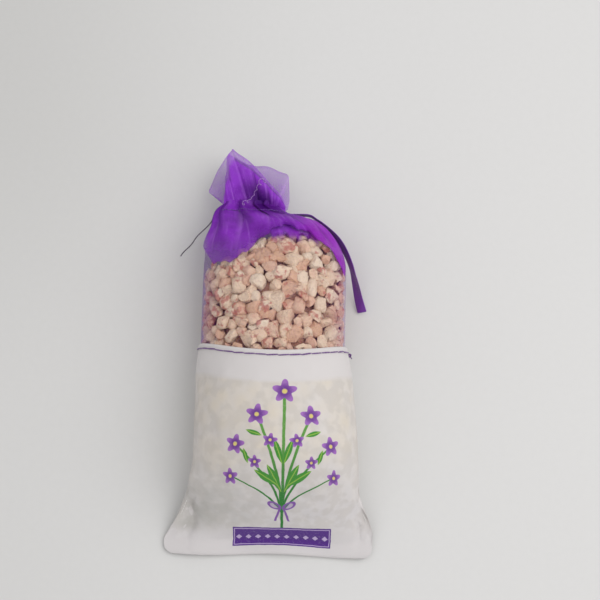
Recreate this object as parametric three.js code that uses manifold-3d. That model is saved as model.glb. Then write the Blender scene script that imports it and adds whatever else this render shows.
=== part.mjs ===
// A filled lavender sachet lying on its back: a white cloth pouch below, a sheer organza
// window above, a drawn neck with a ribbon, and a ruffle.
// Millimetres. x runs across the bag, y up the bag from its bottom edge, z up from the table.

import * as THREE from 'three';
import { mergeVertices } from 'three/addons/utils/BufferGeometryUtils.js';
import Module from 'manifold-3d';

const wasm = await Module();
wasm.setup();

const { lerp, smoothstep, clamp, degToRad } = THREE.MathUtils;
const { sin, cos, abs, sqrt, PI } = Math;

// Outline of the filled bag
const bagWidth = 75;
const bodyLength = 126.5;
const edgeThickness = 2;
const edgeLength = 6;
const cornerRadius = 4;
const fillWidth = 54.5;
const leftFlareLength = 30;
const rightBellyLength = 69;
const rightBellyShare = 0.5;
const rightEarLow = 8;
const rightEarHigh = 24;
const crownHeight = 37;
const riseLength = 36;
const seamHeight = 14;
const pressedDepth = 2;
const shoulderStart = 102;
const crownFallStart = 90;
const neckWidth = 22;
const neckThickness = 2.2;
const neckOffset = -7.1;

// How the profiles curve: 1 is plain, lower is fuller
const riseFullness = 1.1;
const shoulderFullness = 0.68;
const crownFullness = 0.9;
const neckShiftPower = 2.3;

// Cloth, organza and the hem where they are joined
const clothThickness = 0.5;
const organzaThickness = 0.3;
const fitGap = 0.3;
const seamGap = 0.3;
const seamAllowance = 5;
const hemHeight = 73.7;
const hemSag = 4.7;
const hemDepth = 11;
const lapDepth = 7;
const plainRows = 9;
const panelColumns = 18;
const organzaColumns = 20;
const organzaRows = 18;
const organzaRowPower = 1.5;
const cornerRows = 3;
const hemRows = 6;

// The fold of the empty organza over the top of the filling: x and y of its lower edge
const foldRise = 3;
const foldStep = 0.9;
const foldBulge = 0.7;
const foldHold = 0.1;
const foldTop = 119;
const foldFullLength = 14;
const foldLine = [
  [-27, 112],
  [-24.9, 107],
  [-22.4, 102],
  [-18.1, 100.7],
  [-14.6, 101.6],
  [-9.7, 104.8],
  [-5.4, 109.3],
  [-1.9, 112],
  [2.1, 114.7],
  [5.5, 116.4],
  [10.1, 115.5],
  [15.2, 113.2],
  [19.9, 108.9],
  [23, 104.3],
  [26, 99],
];

// Sewing threads
const threadDiameter = 0.4;
const stitchLength = 4;
const stitchInset = 2;
const stitchSink = 0.1;
const knotDiameter = 1.7;
const hemStitchReach = 83;
const channelStitchReach = 76;
const channelStitches = 24;
const upperStitches = 16;
const threadSides = 4;
const hemSamples = 24;
const seamThreadSteps = 24;
const bottomThreadShare = 0.8;
const bottomThreadSteps = 8;
const bottomThreadAbove = 2;
const grooveDepth = threadDiameter + fitGap;
const threadGroove = threadDiameter + 2 * fitGap;

// Filling; its top line is given as x and y
const fillBottom = 12;
const fillTopLine = [
  [-27, 101],
  [-21, 103],
  [-13, 105.5],
  [-6, 110],
  [2, 112.5],
  [8, 113.5],
  [13, 112.5],
  [19, 110.5],
  [24, 107],
  [27, 103],
];
const fillDome = 8;
const fillEndShare = 0.55;
const fillRings = 18;
const bedBlend = 11;
const bigGranule = { size: 5.6, sink: 0, crowding: 1 };
const smallGranule = { size: 4, sink: 0.5, crowding: 0.84 };
const granuleProud = 1.7;
const granuleGap = 0.35;
const granuleReach = 70;
const granuleTries = 1500;
const looseGranules = 28;
const bedSteps = 12;
const scatterSteps = [0.7548776662, 0.569840291];
const granuleShape = { wide: 0.86, wideVary: 0.12, thick: 0.8, thickVary: 0.16 };
const granuleTurns = { wide: 2.4, thick: 1.7, x: 1.1, z: 2.3 };
const normalStep = 0.01;

// Ribbon drawstring
const ribbonWidth = 3.6;
const ribbonThickness = 0.4;
const ribbonSlack = 0.4;
const ribbonLean = 28;
const tailLean = 66;
const shoulderSteps = 30;
const tailSteps = 14;
const ribbonRoute = [
  [-12, 123.5, 14],
  [-6, 123.5, 14],
  [0, 123.5, 14],
  [6, 123.5, 14],
  [12, 123.5, 14],
  [14.9, 121.9, 14],
  [17.5, 119.9, 14],
  [21.3, 116.2, 14],
  [24.1, 112.6, 14],
  [26.1, 109, 14],
];
const tailRoute = [
  [26.25, 108.7, 14],
  [27.7, 105.1, 13.8],
  [28.9, 101.6, 11.3],
  [30.1, 98, 7.2],
  [31.3, 94.2, 3.4],
  [32.6, 90.2, 1.3],
];

// Ruffle
const ruffleLength = 21.5;
const ruffleGap = 0.85;
const plyGap = 0.8;
const frontBulge = 5;
const backDroop = 3.5;
const pleatDepth = 0.8;
const pleatCount = 4;
const bulgeTurn = 0.75;
const ruffleColumns = 20;
const ruffleRows = 7;

// Loose thread at the left shoulder
const looseDiameter = 0.5;
const looseSides = 6;
const looseHeldSteps = 8;
const looseFreeSteps = 12;
const looseHeld = [
  [-20.9, 125.5, 14],
  [-22.9, 122.4, 14],
  [-24.1, 119.9, 14],
];
const looseFree = [
  [-24.3, 119.6, 14],
  [-27.4, 116.4, 13.6],
  [-31.2, 112, 12.2],
  [-35, 107.8, 10.5],
];

const frameOriginY = 37.5;
const clothInset = 2 * clothThickness + fitGap;
const organzaInset = clothInset + organzaThickness;
const neckHalf = neckWidth / 2 + clothInset;
const channelHeight = ribbonRoute[0][1];

// Profiles along the bag
function rise(y) {
  const share = clamp((y - edgeLength) / riseLength, 0, 1);
  return sin(share * PI / 2) ** riseFullness;
}

function shoulder(y) {
  return clamp((y - shoulderStart) / (bodyLength - shoulderStart), 0, 1);
}

// How far each side spreads towards the bottom, from 0 at the full body to 1 at the flat corner
function flareLeft(y) {
  return (1 - clamp((y - edgeLength) / leftFlareLength, 0, 1)) ** 2;
}

function flareRight(y) {
  const belly = 1 - clamp((y - edgeLength) / rightBellyLength, 0, 1) ** 2;
  const ear = 1 - smoothstep(y, rightEarLow, rightEarHigh);
  return lerp(ear, belly, rightBellyShare);
}

function halfWidth(y) {
  const spread = (flareLeft(y) + flareRight(y)) / 2;
  const corner = clamp(1 - y / cornerRadius, 0, 1);
  const rounding = cornerRadius * (1 - sqrt(1 - corner ** 2));
  const body = fillWidth / 2 + (bagWidth - fillWidth) / 2 * spread - rounding;
  return neckHalf + (body - neckHalf) * (1 - shoulder(y) ** 2) ** shoulderFullness;
}

function centreX(y) {
  const pull = (bagWidth - fillWidth) / 4 * (flareRight(y) - flareLeft(y));
  return pull + neckOffset * shoulder(y) ** neckShiftPower;
}

function seamLine(y) {
  return lerp(edgeThickness / 2, seamHeight, rise(y));
}

function crown(y) {
  const neckTop = seamHeight + neckThickness / 2 + clothInset;
  const fall = clamp((y - crownFallStart) / (bodyLength - crownFallStart), 0, 1);
  const body = lerp(edgeThickness, crownHeight, rise(y));
  return neckTop + (body - neckTop) * (1 - fall ** 2) ** crownFullness;
}

function underside(y) {
  const neckBottom = seamHeight - neckThickness / 2 - clothInset;
  return neckBottom * shoulder(y) ** 2;
}

// Front and back faces of the bag; an inset moves a point in from the outer surface
function frontPoint(angle, y, insetX, insetZ = insetX) {
  const seam = seamLine(y) + seamGap / 2;
  const x = centreX(y) + (halfWidth(y) - insetX) * sin(angle);
  return new THREE.Vector3(x, y, seam + (crown(y) - seam - insetZ) * cos(angle));
}

function backPoint(angle, y, insetX, insetZ = insetX) {
  const seam = seamLine(y) - seamGap / 2;
  const floor = underside(y) + insetZ;
  const depth = (seam - floor + pressedDepth) * Math.cbrt(1 - abs(sin(angle)) ** 3);
  const x = centreX(y) + (halfWidth(y) - insetX) * sin(angle);
  return new THREE.Vector3(x, y, Math.max(floor, seam - depth));
}

function hemLine(facePoint, angle) {
  const sag = facePoint === frontPoint ? hemSag : 0;
  return hemHeight - sag * cos(angle) ** 2;
}

// The height of a line of [x, y] places over the given angle of a face
function lineOver(line, angle) {
  const x = sin(angle) * fillWidth / 2;
  const next = line.findIndex((place) => place[0] >= x);
  if (next === 0) return line[0][1];
  if (next < 0) return line[line.length - 1][1];
  const [from, to] = [line[next - 1], line[next]];
  return lerp(from[1], to[1], (x - from[0]) / (to[0] - from[0]));
}

// How far the folded organza stands above the plain face
function foldHeight(angle, y) {
  const fold = lineOver(foldLine, angle);
  const length = foldTop - fold;
  const share = clamp((y - fold) / length, 0, 1);
  const across = angle / PI + 1 / 2;
  const hold = smoothstep(across, 0, foldHold) * (1 - smoothstep(across, 1 - foldHold, 1));
  const bulge = foldRise * sin(PI * share ** foldBulge);
  const step = y > fold ? foldStep * (1 - share) : 0;
  return hold * (bulge + step) * clamp(length / foldFullLength, 0, 1);
}

function sideX(y, side) {
  return centreX(y) + side * (halfWidth(y) - clothInset);
}

// Mesh helpers
function closedGeometry(positions, triangles) {
  const geometry = new THREE.BufferGeometry();
  geometry.setAttribute('position', new THREE.Float32BufferAttribute(positions, 3));
  geometry.setIndex(triangles);
  return signedVolume(geometry) < 0 ? flipped(geometry) : geometry;
}

function signedVolume(geometry) {
  const corner = geometry.getAttribute('position');
  const order = geometry.getIndex().array;
  const [a, b, c] = [new THREE.Vector3(), new THREE.Vector3(), new THREE.Vector3()];
  let volume = 0;
  for (let i = 0; i < order.length; i += 3) {
    a.fromBufferAttribute(corner, order[i]);
    b.fromBufferAttribute(corner, order[i + 1]);
    c.fromBufferAttribute(corner, order[i + 2]);
    volume += a.dot(b.cross(c)) / 6;
  }
  return volume;
}

function flipped(geometry) {
  const order = Array.from(geometry.getIndex().array);
  for (let i = 0; i < order.length; i += 3) {
    [order[i], order[i + 1]] = [order[i + 1], order[i]];
  }
  geometry.setIndex(order);
  return geometry;
}

function gridTriangles(columns, rows, start, turned) {
  const triangles = [];
  for (let row = 0; row < rows; row++) {
    for (let column = 0; column < columns; column++) {
      const a = start + row * (columns + 1) + column;
      const b = a + 1;
      const c = a + columns + 1;
      const d = c + 1;
      triangles.push(...(turned ? [a, c, b, b, c, d] : [a, b, c, b, d, c]));
    }
  }
  return triangles;
}

// A sheet with two faces, closed along its four edges
function sheetSolid(outer, inner, columns, rows) {
  const positions = [];
  for (const face of [outer, inner]) {
    for (let row = 0; row <= rows; row++) {
      for (let column = 0; column <= columns; column++) {
        positions.push(...face(column / columns, row, rows).toArray());
      }
    }
  }
  const faceSize = (columns + 1) * (rows + 1);
  const triangles = [
    ...gridTriangles(columns, rows, 0, false),
    ...gridTriangles(columns, rows, faceSize, true),
  ];
  const edge = [];
  for (let column = 0; column < columns; column++) edge.push(column);
  for (let row = 0; row < rows; row++) edge.push(row * (columns + 1) + columns);
  for (let column = columns; column > 0; column--) edge.push(rows * (columns + 1) + column);
  for (let row = rows; row > 0; row--) edge.push(row * (columns + 1));
  edge.forEach((here, i) => {
    const next = edge[(i + 1) % edge.length];
    triangles.push(here, here + faceSize, next, next, here + faceSize, next + faceSize);
  });
  return closedGeometry(positions, triangles);
}

// A solid through closed rings of points, with a flat end at each side
function ringSolid(rings) {
  const count = rings[0].length;
  const positions = rings.flat().flatMap((point) => point.toArray());
  const triangles = [];
  for (let ring = 0; ring + 1 < rings.length; ring++) {
    for (let i = 0; i < count; i++) {
      const a = ring * count + i;
      const b = ring * count + (i + 1) % count;
      triangles.push(a, b, a + count, b, b + count, a + count);
    }
  }
  for (const end of [0, rings.length - 1]) {
    const middle = new THREE.Vector3();
    rings[end].forEach((point) => middle.addScaledVector(point, 1 / count));
    const tip = positions.length / 3;
    positions.push(...middle.toArray());
    for (let i = 0; i < count; i++) {
      const a = end * count + i;
      const b = end * count + (i + 1) % count;
      triangles.push(...(end === 0 ? [b, a, tip] : [a, b, tip]));
    }
  }
  return closedGeometry(positions, triangles);
}

function tube(points, diameter, steps, sides = threadSides) {
  const section = new THREE.Shape();
  for (let i = 0; i <= sides; i++) {
    const angle = 2 * PI * i / sides;
    const place = [diameter / 2 * cos(angle), diameter / 2 * sin(angle)];
    if (i === 0) section.moveTo(...place);
    else section.lineTo(...place);
  }
  const path = new THREE.CatmullRomCurve3(points, false, 'centripetal');
  return new THREE.ExtrudeGeometry(section, { steps, extrudePath: path, bevelEnabled: false });
}

function toManifold(geometry) {
  const bare = new THREE.BufferGeometry();
  bare.setAttribute('position', geometry.getAttribute('position').clone());
  bare.setIndex(geometry.getIndex());
  const merged = mergeVertices(bare, 1e-3);
  return new wasm.Manifold(new wasm.Mesh({
    numProp: 3,
    vertProperties: merged.getAttribute('position').array,
    triVerts: Uint32Array.from(merged.getIndex().array),
  }));
}

function toGeometry(manifold) {
  const mesh = manifold.getMesh();
  const geometry = new THREE.BufferGeometry();
  geometry.setAttribute('position', new THREE.Float32BufferAttribute(mesh.vertProperties, 3));
  geometry.setIndex(Array.from(mesh.triVerts));
  return geometry;
}

function cutBy(geometry, tools) {
  let solid = toManifold(geometry);
  for (const tool of tools) solid = solid.subtract(toManifold(tool));
  return toGeometry(solid);
}

function joinedTo(geometry, additions) {
  let solid = toManifold(geometry);
  for (const addition of additions) solid = solid.add(toManifold(addition));
  return toGeometry(solid);
}

// Named pieces, each in the group of the body that it moves with
const clothWhite = { color: 0xe4e1dd, roughness: 0.9 };
const organzaViolet = { color: 0x7a35b0, roughness: 0.45 };
const threadPurple = { color: 0x6a3aa0, roughness: 0.7 };
const satinPurple = { color: 0x3d1670, roughness: 0.35 };
const granuleBeige = { color: 0xc99f86, roughness: 0.85 };
const threadGrey = { color: 0x4a4650, roughness: 0.8 };

function addPiece(body, name, geometry, finish) {
  const material = new THREE.MeshStandardMaterial({ ...finish, metalness: 0 });
  const mesh = new THREE.Mesh(geometry, material);
  mesh.name = name;
  body.add(mesh);
  return mesh;
}

function makeBody(name) {
  const body = new THREE.Group();
  body.name = name;
  body.position.y = -frameOriginY;
  return body;
}

const bag = makeBody('bag');
const ruffle = makeBody('ruffle');
const drawstring = makeBody('drawstring');
const ribbonEnd = makeBody('ribbon_end');
const looseEnd = makeBody('loose_end');

// White pouch panels: turned edges at the bottom, a doubled hem at the top
function faceAngle(across) {
  return lerp(-PI / 2, PI / 2, across);
}

// Row heights of a pouch panel: the rounded corner, the plain cloth, then the hem with its stitch groove
function pouchRow(row, top) {
  const stitch = top - stitchInset;
  const low = [0, cornerRadius / (cornerRows + 1), cornerRadius];
  const high = [
    top - hemDepth,
    stitch - threadGroove,
    stitch - threadGroove / 2,
    stitch + threadGroove / 2,
    stitch + threadGroove,
    top,
  ];
  if (row < low.length) return low[row];
  const plain = row - low.length + 1;
  if (plain < plainRows) return lerp(cornerRadius, top - hemDepth, plain / plainRows);
  return high[plain - plainRows];
}

function pouchPanel(facePoint) {
  const firstHemRow = cornerRows - 1 + plainRows;
  const grooveRows = [firstHemRow + 2, firstHemRow + 3];
  const outer = (across, row) => {
    const angle = faceAngle(across);
    const y = pouchRow(row, hemLine(facePoint, angle));
    return facePoint(angle, y, grooveRows.includes(row) ? grooveDepth : 0);
  };
  const inner = (across, row) => {
    const angle = faceAngle(across);
    const top = hemLine(facePoint, angle);
    const y = pouchRow(row, top);
    const plies = y < top - hemDepth ? 1 : 2;
    const point = facePoint(angle, y, clothThickness * plies);
    const seam = facePoint(PI / 2, y, 0).z;
    point.z = lerp(seam, point.z, smoothstep(y, 0, seamAllowance));
    return point;
  };
  return sheetSolid(outer, inner, panelColumns, cornerRows + plainRows + hemRows - 2);
}

// The hem stitches lie in their groove and dip between one stitch and the next
function hemThread(facePoint) {
  const reach = degToRad(hemStitchReach);
  const at = (share, inset) => {
    const angle = lerp(-reach, reach, share);
    return facePoint(angle, hemLine(facePoint, angle) - stitchInset, inset);
  };
  const samples = [];
  for (let i = 0; i <= hemSamples; i++) samples.push(at(i / hemSamples, 0));
  const line = new THREE.CatmullRomCurve3(samples);
  const turns = 2 * Math.round(line.getLength() / stitchLength);
  const points = [];
  for (let i = 0; i <= turns; i++) {
    points.push(at(i / turns, threadDiameter / 2 + (i % 2) * stitchSink));
  }
  return tube(points, threadDiameter, turns);
}

for (const [face, facePoint] of [['front', frontPoint], ['back', backPoint]]) {
  addPiece(bag, `pouch_${face}`, pouchPanel(facePoint), clothWhite);
  addPiece(bag, `hem_stitch_${face}`, hemThread(facePoint), threadPurple);
}

const knotY = hemHeight - stitchInset;
const knot = new THREE.IcosahedronGeometry(knotDiameter / 2, 0);
knot.translate(halfWidth(knotY) + knotDiameter / 2 + fitGap, knotY, seamLine(knotY));
addPiece(bag, 'hem_thread_knot', knot, threadPurple);

// Organza panels: tucked into the hem below, drawn together at the neck
function organzaPanel(facePoint) {
  const at = (inset, folds) => (across, row, rows) => {
    const angle = faceAngle(across);
    const bottom = hemLine(facePoint, angle) - lapDepth;
    const y = lerp(bottom, bodyLength, 1 - (1 - row / rows) ** organzaRowPower);
    return facePoint(angle, y, inset, inset - folds * foldHeight(angle, y));
  };
  const folds = facePoint === frontPoint ? 1 : 0;
  return sheetSolid(at(clothInset, folds), at(organzaInset, 0), organzaColumns, organzaRows);
}

const slotDepth = ribbonThickness + 2 * ribbonSlack;
const slotHeight = ribbonWidth + 2 * ribbonSlack;
const exitX = sideX(channelHeight, 1);
const ribbonSlot = new THREE.BoxGeometry(neckWidth, slotDepth, slotHeight);
ribbonSlot.translate(exitX, channelHeight, seamHeight);
for (const [face, facePoint] of [['front', frontPoint], ['back', backPoint]]) {
  addPiece(bag, `organza_${face}`, cutBy(organzaPanel(facePoint), [ribbonSlot]), organzaViolet);
}

// Seam threads inside the bag
const seamThreadInset = clothThickness + fitGap + threadDiameter;
for (const [name, side] of [['left', -1], ['right', 1]]) {
  const points = [];
  for (let i = 0; i <= seamThreadSteps; i++) {
    const y = lerp(fillBottom, hemHeight - hemDepth - seamAllowance, i / seamThreadSteps);
    const x = centreX(y) + side * (halfWidth(y) - seamThreadInset);
    points.push(new THREE.Vector3(x, y, seamLine(y)));
  }
  addPiece(bag, `side_seam_thread_${name}`, tube(points, threadDiameter, seamThreadSteps), clothWhite);
}

const bottomThreadY = seamAllowance + bottomThreadAbove;
const bottomThreadZ = clothThickness + fitGap + threadDiameter / 2;
const bottomThreadReach = bottomThreadShare * halfWidth(bottomThreadY);
const bottomThread = [-1, 0, 1].map((side) =>
  new THREE.Vector3(side * bottomThreadReach, bottomThreadY, bottomThreadZ));
const bottomSeam = tube(bottomThread, threadDiameter, bottomThreadSteps);
addPiece(bag, 'bottom_seam_thread', bottomSeam, clothWhite);

// Filling: a bed that fills the bag, with single granules lying on it under the window,
// front and back
function windowShare(facePoint, angle, y) {
  const edge = hemLine(facePoint, angle) - lapDepth;
  return smoothstep(y, edge - bedBlend, edge - fitGap);
}

function bedPoint(facePoint, angle, y) {
  const share = windowShare(facePoint, angle, y);
  const insetX = seamThreadInset + threadDiameter / 2 + fitGap + share * granuleProud;
  const insetZ = lerp(clothThickness + fitGap, organzaInset + fitGap + granuleProud, share);
  return facePoint(angle, y, insetX, insetZ);
}

// A point of the bed's ring, drawn in towards the middle near the top of the filling
function ringPoint(facePoint, angle, share) {
  const top = lineOver(fillTopLine, angle);
  const y = lerp(fillBottom, top, share);
  const dome = clamp((y - top + fillDome) / fillDome, 0, 1);
  const keep = lerp(fillEndShare, 1, sqrt(1 - dome ** 2));
  const middle = new THREE.Vector3(centreX(y), y, (crown(y) + underside(y)) / 2);
  return middle.lerp(bedPoint(facePoint, angle, y), keep);
}

function bedRing(share) {
  const points = [];
  for (let i = 0; i < bedSteps; i++) points.push(ringPoint(frontPoint, faceAngle(i / bedSteps), share));
  for (let i = bedSteps; i > 0; i--) points.push(ringPoint(backPoint, faceAngle(i / bedSteps), share));
  return points;
}

// Points from the organza into the bag
function inwardNormal(facePoint, angle, y) {
  const across = facePoint(angle + normalStep, y, organzaInset);
  across.sub(facePoint(angle - normalStep, y, organzaInset));
  const along = facePoint(angle, y + normalStep, organzaInset);
  along.sub(facePoint(angle, y - normalStep, organzaInset));
  return across.cross(along).normalize().multiplyScalar(facePoint === frontPoint ? -1 : 1);
}

// Even scatter over the window, keeping only places clear of each other and of the bigger granules
function granulePlaces(facePoint, { size, sink, crowding }, bigger) {
  const places = [];
  const reach = degToRad(granuleReach);
  for (let i = 0; i < granuleTries; i++) {
    const angle = lerp(-reach, reach, i * scatterSteps[0] % 1);
    const lowest = hemLine(facePoint, angle) + size / 2;
    const highest = lineOver(fillTopLine, angle) - fillDome / 2;
    const y = lerp(lowest, highest, i * scatterSteps[1] % 1);
    const place = facePoint(angle, y, organzaInset);
    place.addScaledVector(inwardNormal(facePoint, angle, y), size / 2 + granuleGap + sink);
    const clearOf = (width) => (other) =>
      other.distanceTo(place) > crowding * ((size + width) / 2 + granuleGap);
    if (bigger.every(clearOf(bigGranule.size)) && places.every(clearOf(size))) places.push(place);
  }
  const middle = facePoint(0, (hemHeight + shoulderStart) / 2, organzaInset);
  return places.sort((a, b) => a.distanceTo(middle) - b.distanceTo(middle));
}

function granule(place, number, size) {
  const chunk = new THREE.IcosahedronGeometry(size / 2, 0);
  const wide = granuleShape.wide + granuleShape.wideVary * sin(number * granuleTurns.wide);
  const thick = granuleShape.thick + granuleShape.thickVary * cos(number * granuleTurns.thick);
  chunk.scale(1, wide, thick);
  chunk.rotateX(number * granuleTurns.x);
  chunk.rotateZ(number * granuleTurns.z);
  chunk.translate(place.x, place.y, place.z);
  return chunk;
}

const bedRings = [];
for (let i = 0; i <= fillRings; i++) bedRings.push(bedRing(i / fillRings));
const places = granulePlaces(frontPoint, bigGranule, []);
const backPlaces = granulePlaces(backPoint, bigGranule, []);
const smallPlaces = [
  ...granulePlaces(frontPoint, smallGranule, places),
  ...granulePlaces(backPoint, smallGranule, backPlaces),
];
const fixedGranules = [
  ...places.map((place, i) => granule(place, i, bigGranule.size)).slice(looseGranules),
  ...backPlaces.map((place, i) => granule(place, i, bigGranule.size)),
  ...smallPlaces.map((place, i) => granule(place, i, smallGranule.size)),
];
const pocketSize = bigGranule.size + 2 * fitGap;
const pockets = places.map((place, i) => granule(place, i, pocketSize)).slice(0, looseGranules);
const bed = cutBy(joinedTo(ringSolid(bedRings), fixedGranules), pockets);
addPiece(bag, 'granule_bed', bed, granuleBeige);
places.slice(0, looseGranules).forEach((place, i) => {
  const name = `granule_${String(i + 1).padStart(2, '0')}`;
  addPiece(bag, name, granule(place, i, bigGranule.size), granuleBeige);
});

// Lower stitch line of the drawstring channel, on the front of the neck
const channelStitch = [];
for (let i = 0; i <= channelStitches; i++) {
  const angle = degToRad(lerp(-channelStitchReach, channelStitchReach, i / channelStitches));
  const y = channelHeight - ribbonWidth - (i % 2) * threadDiameter;
  const inset = clothInset - fitGap - threadDiameter / 2;
  channelStitch.push(frontPoint(angle, y, inset, inset - foldHeight(angle, y)));
}
addPiece(bag, 'channel_stitch_lower', tube(channelStitch, threadDiameter, channelStitches), threadPurple);

// Ruffle: two plies that fan out above the neck; edges as shares of the neck and the length
const neckX = centreX(bodyLength);
const ruffleStart = bodyLength + ruffleGap;
const frontShares = [[-1.06, 0.66], [-0.9, 0.93], [-0.45, 0.76], [0.2, 0.46], [0.95, 0.12]];
const backShares = [[-1.6, 0.27], [-1.38, 0.64], [-1.02, 0.95], [-0.05, 0.71], [1.02, 0.6]];

function edgeCurve(shares) {
  return new THREE.CatmullRomCurve3(shares.map(([across, up]) =>
    new THREE.Vector3(neckX + across * neckWidth / 2, ruffleStart + up * ruffleLength, 0)));
}

const frontEdgeCurve = edgeCurve(frontShares);
const backEdgeCurve = edgeCurve(backShares);

function rufflePoint(edge, lift, across, along) {
  const waist = new THREE.Vector3(neckX + (across - 0.5) * neckWidth, ruffleStart, 0);
  const point = waist.lerp(edge.getPoint(across), along);
  const pleat = pleatDepth * along * sin(2 * PI * pleatCount * across);
  point.z = seamHeight + lift(along) + pleat;
  return point;
}

function frontLift(along) {
  return plyGap / 2 + frontBulge * sin(along * PI * bulgeTurn) ** 2;
}

function backLift(along) {
  return -plyGap / 2 - pleatDepth * along - backDroop * along ** 2;
}

function rufflePly(edge, lift) {
  const half = organzaThickness / 2;
  const face = (height) => (across, row, rows) => {
    const point = rufflePoint(edge, lift, across, row / rows);
    point.z += height;
    return point;
  };
  return sheetSolid(face(half), face(-half), ruffleColumns, ruffleRows);
}

addPiece(ruffle, 'ruffle_front', rufflePly(frontEdgeCurve, frontLift), organzaViolet);
addPiece(ruffle, 'ruffle_back', rufflePly(backEdgeCurve, backLift), organzaViolet);

// The upper stitches run from the neck towards the ruffle's edge, as shares of the front ply
const upperStitchAcross = [0.27, 0.6];
const upperStitchAlong = [0.1, 0.95];
const upperStitch = [];
for (let i = 0; i <= upperStitches; i++) {
  const share = i / upperStitches;
  const along = lerp(...upperStitchAlong, share);
  const across = lerp(...upperStitchAcross, share);
  const point = rufflePoint(frontEdgeCurve, frontLift, across, along);
  point.z += organzaThickness / 2 + fitGap + threadDiameter / 2;
  point.x += (i % 2) * threadDiameter;
  upperStitch.push(point);
}
addPiece(ruffle, 'channel_stitch_upper', tube(upperStitch, threadDiameter, upperStitches), threadPurple);

// Ribbon: on edge through the neck and over the right shoulder, then a twisting tail
function ribbonSolid(points, leans, steps) {
  const path = new THREE.CatmullRomCurve3(points, false, 'centripetal');
  const rings = [];
  for (let i = 0; i <= steps; i++) {
    const share = i / steps;
    const place = path.getPointAt(share);
    const run = path.getTangentAt(share);
    const slot = share * (leans.length - 1);
    const whole = Math.min(Math.floor(slot), leans.length - 2);
    const lean = degToRad(lerp(leans[whole], leans[whole + 1], slot - whole));
    const level = new THREE.Vector3(run.y, -run.x, 0).normalize();
    const upright = level.clone().cross(run).normalize();
    if (upright.z < 0) upright.negate();
    const wide = upright.clone().multiplyScalar(-cos(lean)).addScaledVector(level, sin(lean));
    const thick = wide.clone().cross(run).normalize();
    const corners = [[1, 1], [1, -1], [-1, -1], [-1, 1]];
    rings.push(corners.map(([w, t]) => place.clone()
      .addScaledVector(wide, w * ribbonWidth / 2)
      .addScaledVector(thick, t * ribbonThickness / 2)));
  }
  return ringSolid(rings);
}

function routePoints(route) {
  return route.map((place) => new THREE.Vector3(...place));
}

const shoulderLeans = [0, 0, 0, 0, 0, ribbonLean / 2, ribbonLean, ribbonLean];
const shoulderRibbon = ribbonSolid(routePoints(ribbonRoute), shoulderLeans, shoulderSteps);
addPiece(drawstring, 'ribbon_drawstring', shoulderRibbon, satinPurple);
const tailRibbon = ribbonSolid(routePoints(tailRoute), [ribbonLean, tailLean], tailSteps);
addPiece(ribbonEnd, 'ribbon_tail', tailRibbon, satinPurple);

// Loose thread: held along the left edge of the shoulder, then free
const heldThread = tube(routePoints(looseHeld), looseDiameter, looseHeldSteps, looseSides);
addPiece(bag, 'loose_thread_held', heldThread, threadGrey);
const freeThread = tube(routePoints(looseFree), looseDiameter, looseFreeSteps, looseSides);
addPiece(looseEnd, 'loose_thread_free', freeThread, threadGrey);

const sachet = new THREE.Group();
sachet.name = 'lavender_sachet';
sachet.add(bag, ruffle, drawstring, ribbonEnd, looseEnd);

export default sachet;
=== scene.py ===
import math

import bpy
import numpy as np
from mathutils import Matrix, Vector
from mathutils.bvhtree import BVHTree


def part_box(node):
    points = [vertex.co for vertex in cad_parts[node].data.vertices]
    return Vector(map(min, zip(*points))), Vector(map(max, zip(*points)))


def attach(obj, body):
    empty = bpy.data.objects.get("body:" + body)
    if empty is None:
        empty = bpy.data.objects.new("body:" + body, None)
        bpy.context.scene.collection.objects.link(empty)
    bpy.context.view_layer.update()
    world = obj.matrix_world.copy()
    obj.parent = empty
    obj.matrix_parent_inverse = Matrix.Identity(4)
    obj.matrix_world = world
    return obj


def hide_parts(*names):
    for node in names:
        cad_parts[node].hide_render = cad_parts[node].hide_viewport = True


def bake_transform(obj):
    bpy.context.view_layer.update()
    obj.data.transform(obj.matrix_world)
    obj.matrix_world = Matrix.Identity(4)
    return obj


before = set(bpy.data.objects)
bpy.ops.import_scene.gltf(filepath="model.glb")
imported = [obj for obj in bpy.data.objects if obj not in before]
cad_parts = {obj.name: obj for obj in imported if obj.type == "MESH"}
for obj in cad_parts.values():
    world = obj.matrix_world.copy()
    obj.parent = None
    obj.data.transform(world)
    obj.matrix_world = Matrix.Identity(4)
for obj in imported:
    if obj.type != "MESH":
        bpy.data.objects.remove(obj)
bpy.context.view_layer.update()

print("frame loaded:", len(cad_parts), "nodes")

# The bag's own measure, as in the part's source: millimetres, x across, y up from the bottom edge,
# z up from the table. toFrame() turns it into the row frame.
bag = {
    "width": 75, "length": 126.5, "edgeThickness": 2, "edgeLength": 6, "cornerRadius": 4,
    "fillWidth": 54.5, "leftFlareLength": 30, "rightBellyLength": 69, "rightBellyShare": 0.5,
    "rightEar": (8, 24), "crownHeight": 37, "riseLength": 36,
    "seamHeight": 14, "pressedDepth": 2, "shoulderStart": 102, "crownFallStart": 90,
    "neckWidth": 22, "neckThickness": 2.2, "neckOffset": -7.1, "riseFullness": 1.1,
    "shoulderFullness": 0.68, "crownFullness": 0.9, "neckShiftPower": 2.3, "clothInset": 1.3,
    "seamGap": 0.3, "hemHeight": 73.7, "hemSag": 4.7, "hemDepth": 11, "rowOrigin": 37.5,
    "finLeft": 9, "finRight": 5.5, "finRise": (9, 27),
}
neckHalf = bag["neckWidth"] / 2 + bag["clothInset"]


def toFrame(points):
    points = np.array(points, float)
    points[..., 1] -= bag["rowOrigin"]
    return points / 1000


def fromFrame(points):
    points = np.array(points, float) * 1000
    points[..., 1] += bag["rowOrigin"]
    return points


def mix(a, b, share):
    return a + (b - a) * share


def smooth(value, low, high):
    share = np.clip((value - low) / (high - low), 0, 1)
    return share * share * (3 - 2 * share)


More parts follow.
